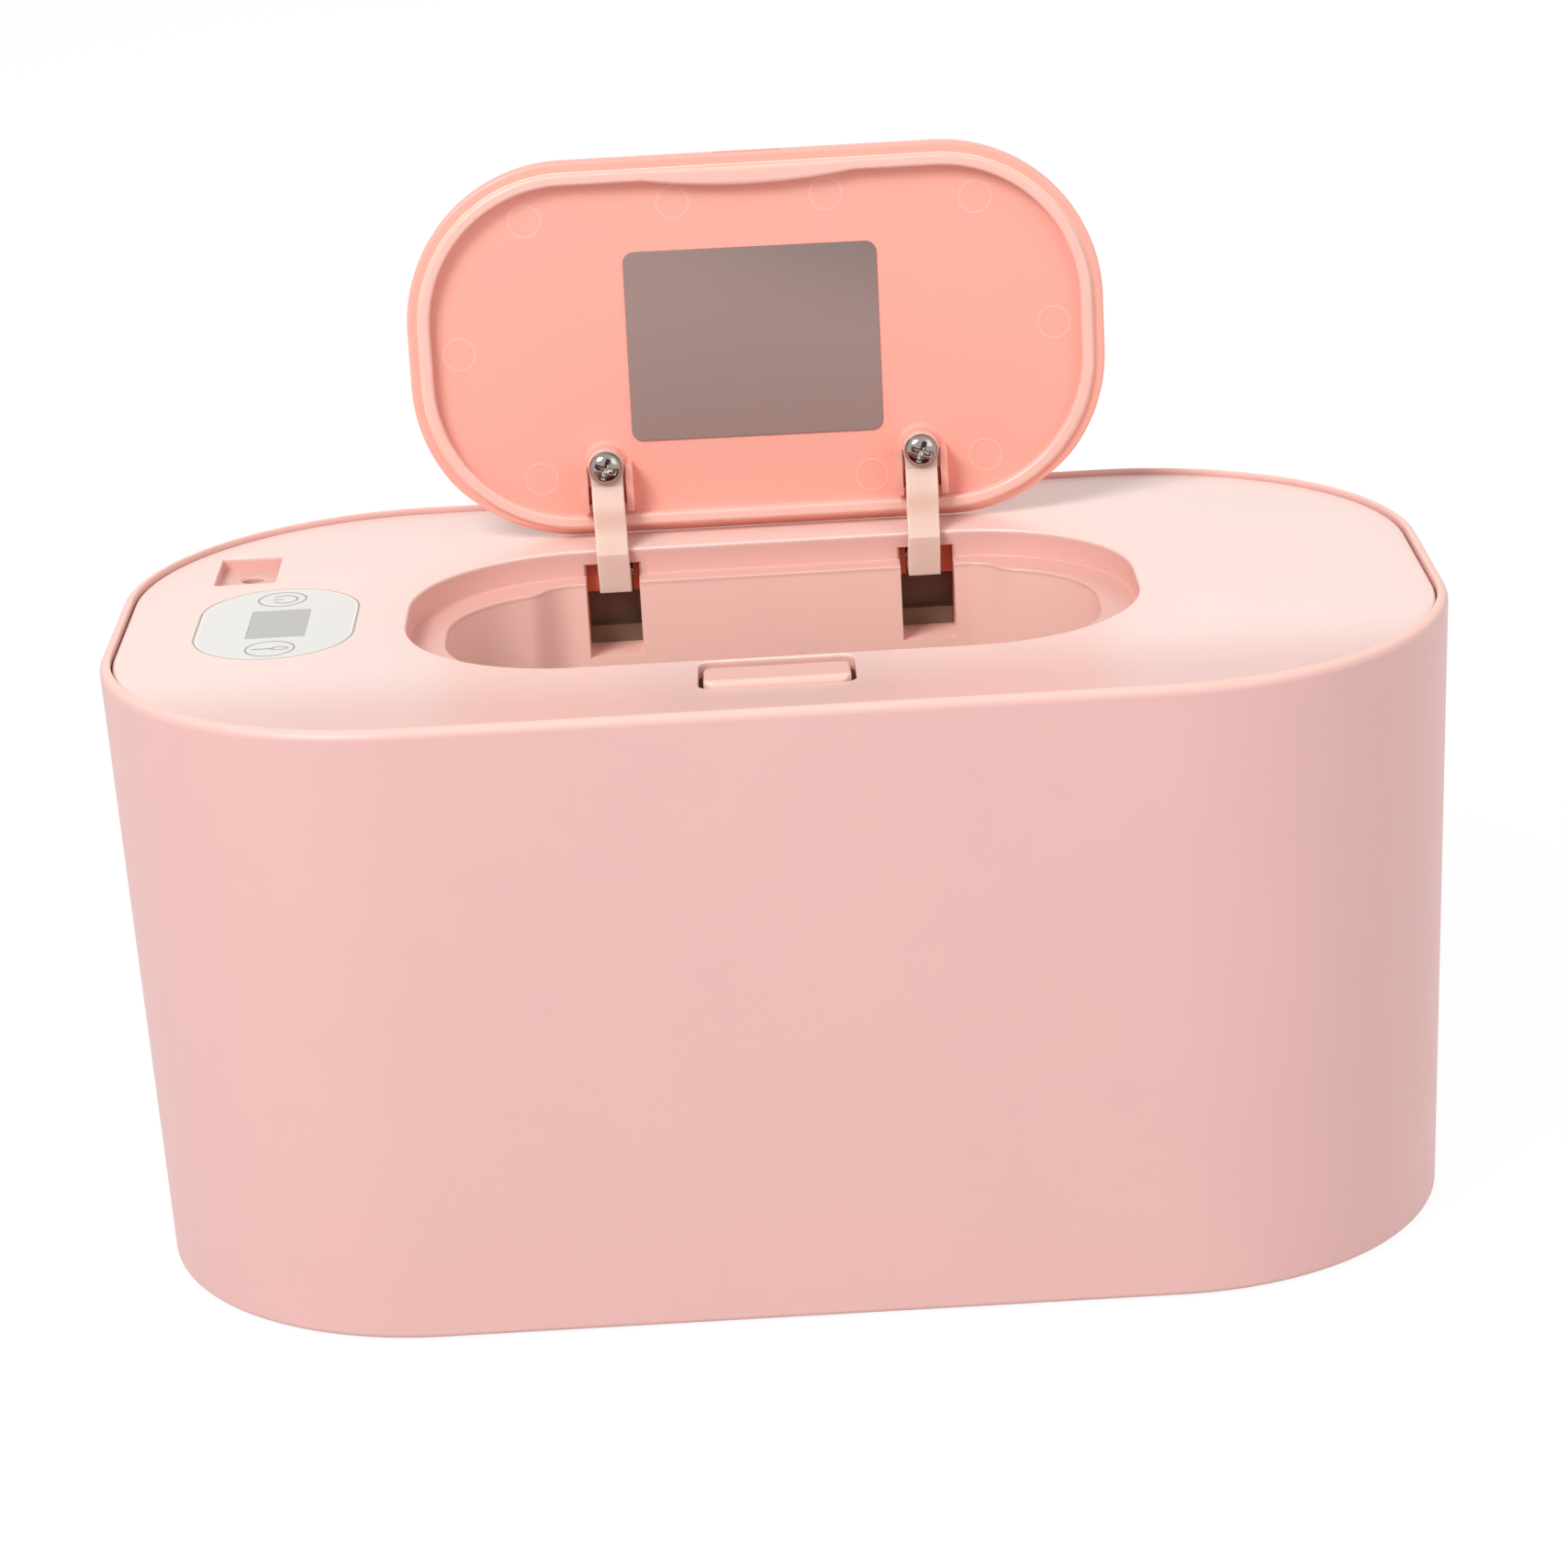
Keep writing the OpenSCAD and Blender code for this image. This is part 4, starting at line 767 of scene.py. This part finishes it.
pin_r, pin_line, pin_proud, pin_sunk = 2.9, 0.3, 0.05, 0.02
pin_spots = [[54, 0.4], [40.6, 24], [13.8, 26], [40.6, -23.4], [19.75, -26],
             [-54, 0.4], [-40.6, 24], [-13.8, 26], [-40.6, -23.4]]
pins = []
for x, forward in pin_spots:
    mark = ring(x, recess_y - forward, pin_r, pin_line, lid_in - pin_proud, lid_in + pin_sunk)
    pins.append(opened(mark))
pin_rings = shade(solid("lid_pin_marks", *pins))
# The rings' paler pink is a painted highlight where their raised edges catch the light.
pin_pink = moulded("pin_pink", linear(255, 193, 179), roughness=0.34, mottle=0.03)
dress(pin_rings, "lid", "lid_pink", pin_pink)


# ---- Lid seal ----
# A soft ring of pale translucent silicone pressed in behind the lip. It closes on the recess's shelf,
# and bulges inwards where it passes behind the catch. A thin pale bead along the lip beside it is a
# painted highlight of the lip's inner edge.

seal_w, seal_gap, seal_bulge, seal_bulge_half = 2.2, 0.35, 1.5, 19.0
seal_z = shelf_z + seal_gap
seal_round = 0.6
seal_sink, seal_step, seal_shoulder = 0.02, 0.12, 0.1
silicone_reach = (0.004, 0.002, 0.001)
plan, normal = lid_line
front_x = np.linspace(-1, 1, 61)[1:-1] * (recess_w / 2 - recess_r)
front = np.stack([front_x, np.full(len(front_x), plan[:, 1].min())], 1)
at = 3 * (lid_steps + 1)
plan = np.concatenate([plan[:at], front, plan[at:]])
normal = np.concatenate([normal[:at], np.tile([0.0, -1.0], (len(front), 1)), normal[at:]])
seal_profile = np.array(
    [[-lip_w - seal_sink, lid_in - seal_sink], [-lip_w - seal_sink, lip_z + seal_shoulder]]
    + [[-lip_w - seal_step, lip_z - seal_shoulder]]
    + bend(-lip_w - seal_step - seal_round, seal_z + seal_round, seal_round, 0, -90)
    + bend(-lip_w - seal_w + seal_round, seal_z + seal_round, seal_round, -90, -180)
    + [[-lip_w - seal_w, lid_in - seal_sink]])
points, faces = carried((plan, normal), seal_profile.tolist())
inward = np.clip((-lip_w - seal_profile[:, 0]) / seal_w, 0, 1)
share = np.repeat(inward, len(plan))
hump = np.clip(1 - (points[:, 0] / seal_bulge_half) ** 2, 0, 1) * (points[:, 1] < recess_y)
points[:, 1] += seal_bulge * share * hump
here = np.arange(len(plan))
after = (here + 1) % len(plan)
last = (len(seal_profile) - 1) * len(plan)
closing = np.stack([after, here, last + here, last + after], 1).tolist()
seal = shade(solid("seal", opened(relieved((points, faces[:-2] + closing)))))
seal_silicone = moulded("seal_silicone", linear(249, 196, 184), roughness=0.3, mottle=0.02,
                        Subsurface_Weight=0.15, Subsurface_Radius=silicone_reach, Subsurface_Scale=1.0)
dress(seal, "lid", "seal_silicone", seal_silicone, "lid_seal")

# The pale bead is a painted highlight: a cream line where the lip's inner edge catches the light.
bead_r, bead_in = 0.2, 0.05
bead_profile = bend(-lip_w - bead_in, lip_z, bead_r, 0, -360, 12)
bead_points, bead_faces = carried(lid_line, bead_profile)
bead = shade(solid("seal_flash", opened(relieved((bead_points, bead_faces[:-2])))))
flash_cream = moulded("flash_cream", linear(255, 222, 200), roughness=0.4, mottle=0.02,
                      Subsurface_Weight=0.2, Subsurface_Radius=silicone_reach, Subsurface_Scale=1.0)
dress(bead, "lid", "seal_silicone", flash_cream)


# ---- Label plate ----
# A bare satin-grey foil plate with round corners, stuck on the lid's inner face a little askew. Its
# sheen darkens from the lower left to the upper right.

label_w, label_d, label_t, label_r, label_turn = 45.8, 34.7, 0.3, 2.0, 0.4
label_x, label_y, label_seat, label_edge = -0.6, recess_y + 0.1, 0.01, 0.1
sheen_along, sheen_start, sheen_end = (0.35, 0, 0.94), 36, 62
a = np.radians(label_turn)
spin = np.array([[np.cos(a), np.sin(a)], [-np.sin(a), np.cos(a)]])
flat_plan, flat_normal = rounded(label_w, label_d, label_r, 0, 0, 8)
label_line = (flat_plan @ spin + [label_x, label_y], flat_normal @ spin)
label_profile = [[0, lid_in - label_seat], [0, lid_in - label_t + label_edge],
                 [-label_edge, lid_in - label_t]]
label = shade(solid("label_plate", opened(carried(label_line, label_profile))))
label_satin = moulded("label_satin", linear(160, 136, 130), roughness=0.42, mottle=0.05, depth=0.003,
                      Metallic=0.35)
paint_light(label_satin, linear(132, 118, 115), sheen_along, hinge_z + sheen_start, hinge_z + sheen_end)
dress(label, "lid", "label_satin", label_satin, "lid_label")


# ---- Hinge arms ----
# Two gooseneck arms moulded in milky nylon: a flat strip, cranked towards the lid and screwed to its
# boss, and a tall block with the shaft's barrel that dips into the pocket.

def arm(name, x):
    """A loft of upright rounded rectangles along y. Round the screw the half width narrows as
    w = sqrt(r^2 - (y - screw)^2); the strip runs level at the pad, slopes down to the strip's level
    at the crank, and its top rises round the barrel as z = hinge + sqrt(r^2 - (y - hinge)^2)."""
    half = arm_w / 2
    nose = screw_y - eye_r * np.cos(np.radians(np.linspace(3, 90, 12)))
    pad = screw_y + np.array([0.5, 1.0, 1.3, 2.4])
    pad_end = screw_y + half + 0.4
    crank = np.linspace(0, 1, 16) * (crank_start - pad_end) + pad_end
    rise = hinge_y - barrel_r
    foot = rise - np.array(foot_back)
    barrel = hinge_y - barrel_r * np.cos(np.radians(np.linspace(0, 180, 16)))
    y = np.concatenate([nose, pad, crank, foot, barrel])
    eye = np.sqrt(np.maximum(eye_r ** 2 - (y - screw_y) ** 2, 0.02))
    w = np.where(y < screw_y, eye, np.maximum(eye, half))
    along = np.clip((y - pad_end) / (crank_start - pad_end), 0, 1)
    fall = arm_crank * (1 - along - crank_ease * np.sin(2 * np.pi * along))
    low = arm_low + fall
    top = arm_high + fall
    before = len(nose) + len(pad) + len(crank)
    top[before:before + len(foot)] += foot_up
    inside = y >= rise
    top[inside] = hinge_z + np.sqrt(np.maximum(barrel_r ** 2 - (y[inside] - hinge_y) ** 2, 0))
    section, facing = rounded(1, 1, 0.001, steps=4)
    sign = np.sign(section)
    soft = np.minimum(arm_soft, w / 2)[:, None]
    middle, tall = (low + top)[:, None] / 2, (top - low)[:, None] / 2
    px = sign[None, :, 0] * (w[:, None] - soft) + facing[None, :, 0] * soft
    pz = middle + sign[None, :, 1] * (tall - soft) + facing[None, :, 1] * soft
    py = np.broadcast_to(y[:, None], px.shape)
    lean = np.sign(x) * arm_splay * (hinge_y - py) / arm_reach
    points = np.stack([x + px + lean, py, pz], 2).reshape(-1, 3)
    return solid(name, opened((points, net(*px.shape))))


crank_start = hinge_y - 5
crank_ease = 0.13
foot_back, foot_up = [0.35, 0.12, 0.03], [0.04, 0.12, 0.35]
arm_soft = 0.35
eye_r = 3.25
barrel_r = 2.0
arm_milky = moulded("arm_milky", linear(230, 199, 185), roughness=0.36, mottle=0.02, Subsurface_Weight=0.6,
                    Subsurface_Radius=(0.005, 0.003, 0.002), Subsurface_Scale=1.0)
for side, hand in ((-1, "left"), (1, "right")):
    goose = shade(arm("arm_" + hand, side * arm_span / 2))
    dress(goose, "lid", "arm_milky", arm_milky, "hinge_arm_" + hand)


# ---- Arm screws ----
# Chromed steel screws with a domed pan head and a cross recess, turned and pressed. One goes through
# the eye of each arm into its boss in the lid.

def pan_head(x, y, seat_z, r, h):
    """A pan head below its seat, on a grid of radius s and angle: depth h (1 - (s / r)^power)^0.5, less
    the cross. That is cut with soft edges where a point lies within half a slot's width and a slot's
    length of the middle, and is cross_deep (1 - s / cross_r)^0.5 deep."""
    s = np.concatenate([np.linspace(0.02, 0.62, 22) * r, np.linspace(0.66, 1, 10) * r])
    a = np.linspace(0, 2 * np.pi, 120, endpoint=False)
    s, a = np.meshgrid(s, a, indexing="ij")
    px, py = s * np.cos(a + cross_turn), s * np.sin(a + cross_turn)
    u, v = s * np.cos(a), s * np.sin(a)
    dome = h * np.maximum(1 - (s / r) ** dome_power, 0) ** 0.5
    across = np.minimum(np.maximum(np.abs(u) / slot_half, np.abs(v) / slot_length),
                        np.maximum(np.abs(v) / slot_half, np.abs(u) / slot_length))
    cross = 1 / (1 + np.exp(np.minimum((across - 1) * slot_steep, 60)))
    deep = cross_deep * np.maximum(1 - s / cross_r, 0) ** 0.5
    points = np.stack([x + px, y + py, seat_z - dome + cross * deep], 2)
    return points.reshape(-1, 3), net(*s.shape)


screw_head_r, screw_head_h, dome_power = 3.05, 1.7, 2.6
slot_half, slot_length, slot_steep = 0.36, 1.75, 14
cross_turn, cross_deep, cross_r = 0.35, 1.45, 2.2
chrome = moulded("chrome", linear(160, 152, 148), roughness=0.1, mottle=0.05, depth=0.001, Metallic=1.0)
heads = []
for side in (-1, 1):
    x = side * (arm_span / 2 + arm_splay)
    heads.append(opened(pan_head(x, screw_y, pad_low, screw_head_r, screw_head_h)))
heads = shade(solid("arm_screws", *heads), 60)
dress(heads, "lid", "chrome", chrome, "lid_screws")


# ---- Pieces kept from the CAD model ----
# Under cover, heater, electronics, springs, shaft and fasteners keep their shapes. Each gets its finish:
# white and dark plastics, steel, aluminium, heater film, felt, lacquered board, glass and red leads. On
# the hinge inserts the dark colour is painted shade, where the back of each pocket lies in deep shade.

white_plastic = moulded("white_plastic", linear(232, 230, 224), roughness=0.5)
dark_plastic = moulded("dark_plastic", linear(118, 102, 84), roughness=0.45)
steel = moulded("steel", linear(186, 188, 192), roughness=0.25, depth=0.001, Metallic=1.0)
heater_aluminium = moulded("heater_aluminium", linear(205, 207, 210), roughness=0.35, mottle=0.08,
                           Metallic=1.0)
heater_film = moulded("heater_film", linear(196, 132, 54), roughness=0.3)
pad_felt = moulded("pad_felt", linear(222, 220, 214), roughness=0.9, depth=0.05)
board_green = moulded("board_green", linear(38, 110, 66), roughness=0.35)
display_glass = moulded("display_glass", linear(150, 158, 148), roughness=0.08)
lead_red = moulded("lead_red", linear(170, 34, 30), roughness=0.4)
kept = [
    (white_plastic, ["under_cover", "latch_housing", "board_connectors", "display_holder"]),
    # The hinge inserts' dark colour is painted shade at the back of the hinge pockets.
    (dark_plastic, ["hinge_insert_left", "hinge_insert_right", "power_jack", "control_chip", "thermistor",
                    "sensor_leads"]),
    (steel, ["hinge_shaft", "lid_spring", "latch_plate", "button_spring", "cover_screws", "board_screws",
             "latch_screws", "jack_pin", "touch_spring_power", "touch_spring_mode", "thermal_cutout"]),
    (heater_aluminium, ["heating_plate"]),
    (heater_film, ["film_heater"]),
    (pad_felt, ["insulating_pad"]),
    (board_green, ["circuit_board"]),
    (display_glass, ["display_glass"]),
    (lead_red, ["jack_leads", "heater_leads"])]
for material, names in kept:
    for name in names:
        nodes[name].data.materials.clear()
        nodes[name].data.materials.append(material)


# ---- Floor, light and camera ----
# A plain white floor that keeps the shadow, a white surround, and four square soft lamps of which the
# key stands at the upper left. The camera has the photograph's view.

def white_to_view(tree):
    """One for camera, glossy and transmission rays, and nought for all others."""
    path = tree.nodes.new("ShaderNodeLightPath")
    direct = calculate(tree, "MAXIMUM", path.outputs["Is Camera Ray"], path.outputs["Is Glossy Ray"])
    return calculate(tree, "MAXIMUM", direct, path.outputs["Is Transmission Ray"])


floor_half = 8000.0
floor_corners = np.array([[-1, -1, 0], [1, -1, 0], [1, 1, 0], [-1, 1, 0]]) * floor_half
floor = solid("floor", (floor_corners, [[0, 1, 2, 3]]))
glow_strength, glow_share = 1.09, 0.85
floor_white = bpy.data.materials.new("floor_white")
floor_white.use_nodes = True
tree = floor_white.node_tree
matt = tree.nodes["Principled BSDF"]
matt.inputs["Base Color"].default_value = (0.62, 0.62, 0.62, 1)
matt.inputs["Roughness"].default_value = 0.9
matt.inputs["Specular IOR Level"].default_value = 0.1
glow = tree.nodes.new("ShaderNodeEmission")
glow.inputs["Strength"].default_value = glow_strength
blend = tree.nodes.new("ShaderNodeMixShader")
seen = white_to_view(tree)
tree.links.new(calculate(tree, "MULTIPLY", seen, glow_share), blend.inputs["Fac"])
tree.links.new(matt.outputs[0], blend.inputs[1])
tree.links.new(glow.outputs[0], blend.inputs[2])
tree.links.new(blend.outputs[0], tree.nodes["Material Output"].inputs["Surface"])
floor.data.materials.append(floor_white)

world = bpy.data.worlds.new("studio")
bpy.context.scene.world = world
world.use_nodes = True
tree = world.node_tree
sky = tree.nodes["Background"]
sky.inputs["Color"].default_value = (1, 1, 1, 1)
seen = white_to_view(tree)
sky_light = 0.42
tree.links.new(calculate(tree, "MULTIPLY_ADD", seen, 1 - sky_light, sky_light), sky.inputs["Strength"])


def soft_box(name, place, aim, size, power, mirrored=True):
    """A square area light at a place, facing a point, in millimetres and watts. mirrored says whether
    glossy surfaces show it."""
    lamp = bpy.data.lights.new(name, "AREA")
    lamp.size = size / 1000
    lamp.energy = power
    holder = bpy.data.objects.new(name, lamp)
    bpy.context.scene.collection.objects.link(holder)
    back = np.array(place, float) - np.array(aim, float)
    back /= np.linalg.norm(back)
    right = np.cross([0, 0, 1], back)
    right /= np.linalg.norm(right)
    up = np.cross(back, right)
    turned = np.eye(4)
    turned[:3, :3] = np.stack([right, up, back], 1)
    turned[:3, 3] = np.array(place) / 1000
    holder.matrix_world = Matrix(turned.tolist())
    holder.visible_glossy = mirrored


soft_box("key_light", [-750, -950, 1250], [0, 0, 60], 700, 21)
soft_box("fill_light", [900, -900, 800], [0, 0, 60], 900, 3.5)
soft_box("side_light", [1400, 100, 400], [0, 0, 60], 900, 3.5, mirrored=False)
soft_box("back_light", [250, 1300, 800], [0, 40, 100], 700, 3.5, mirrored=False)

camera_place = np.array([-2.59, -750.75, 332.16])
turn_right, look_down, roll = 0.222, 19.03, 3.172
lens = bpy.data.cameras.new("camera")
lens.lens = 103.1
lens.clip_end = 100
camera = bpy.data.objects.new("camera", lens)
bpy.context.scene.collection.objects.link(camera)
camera.matrix_world = (Matrix.Translation((camera_place / 1000).tolist())
                       @ Matrix.Rotation(-np.radians(turn_right), 4, "Z")
                       @ Matrix.Rotation(np.radians(90 - look_down), 4, "X")
                       @ Matrix.Rotation(-np.radians(roll), 4, "Z"))
bpy.context.scene.camera = camera
bpy.context.scene.view_settings.view_transform = "Standard"
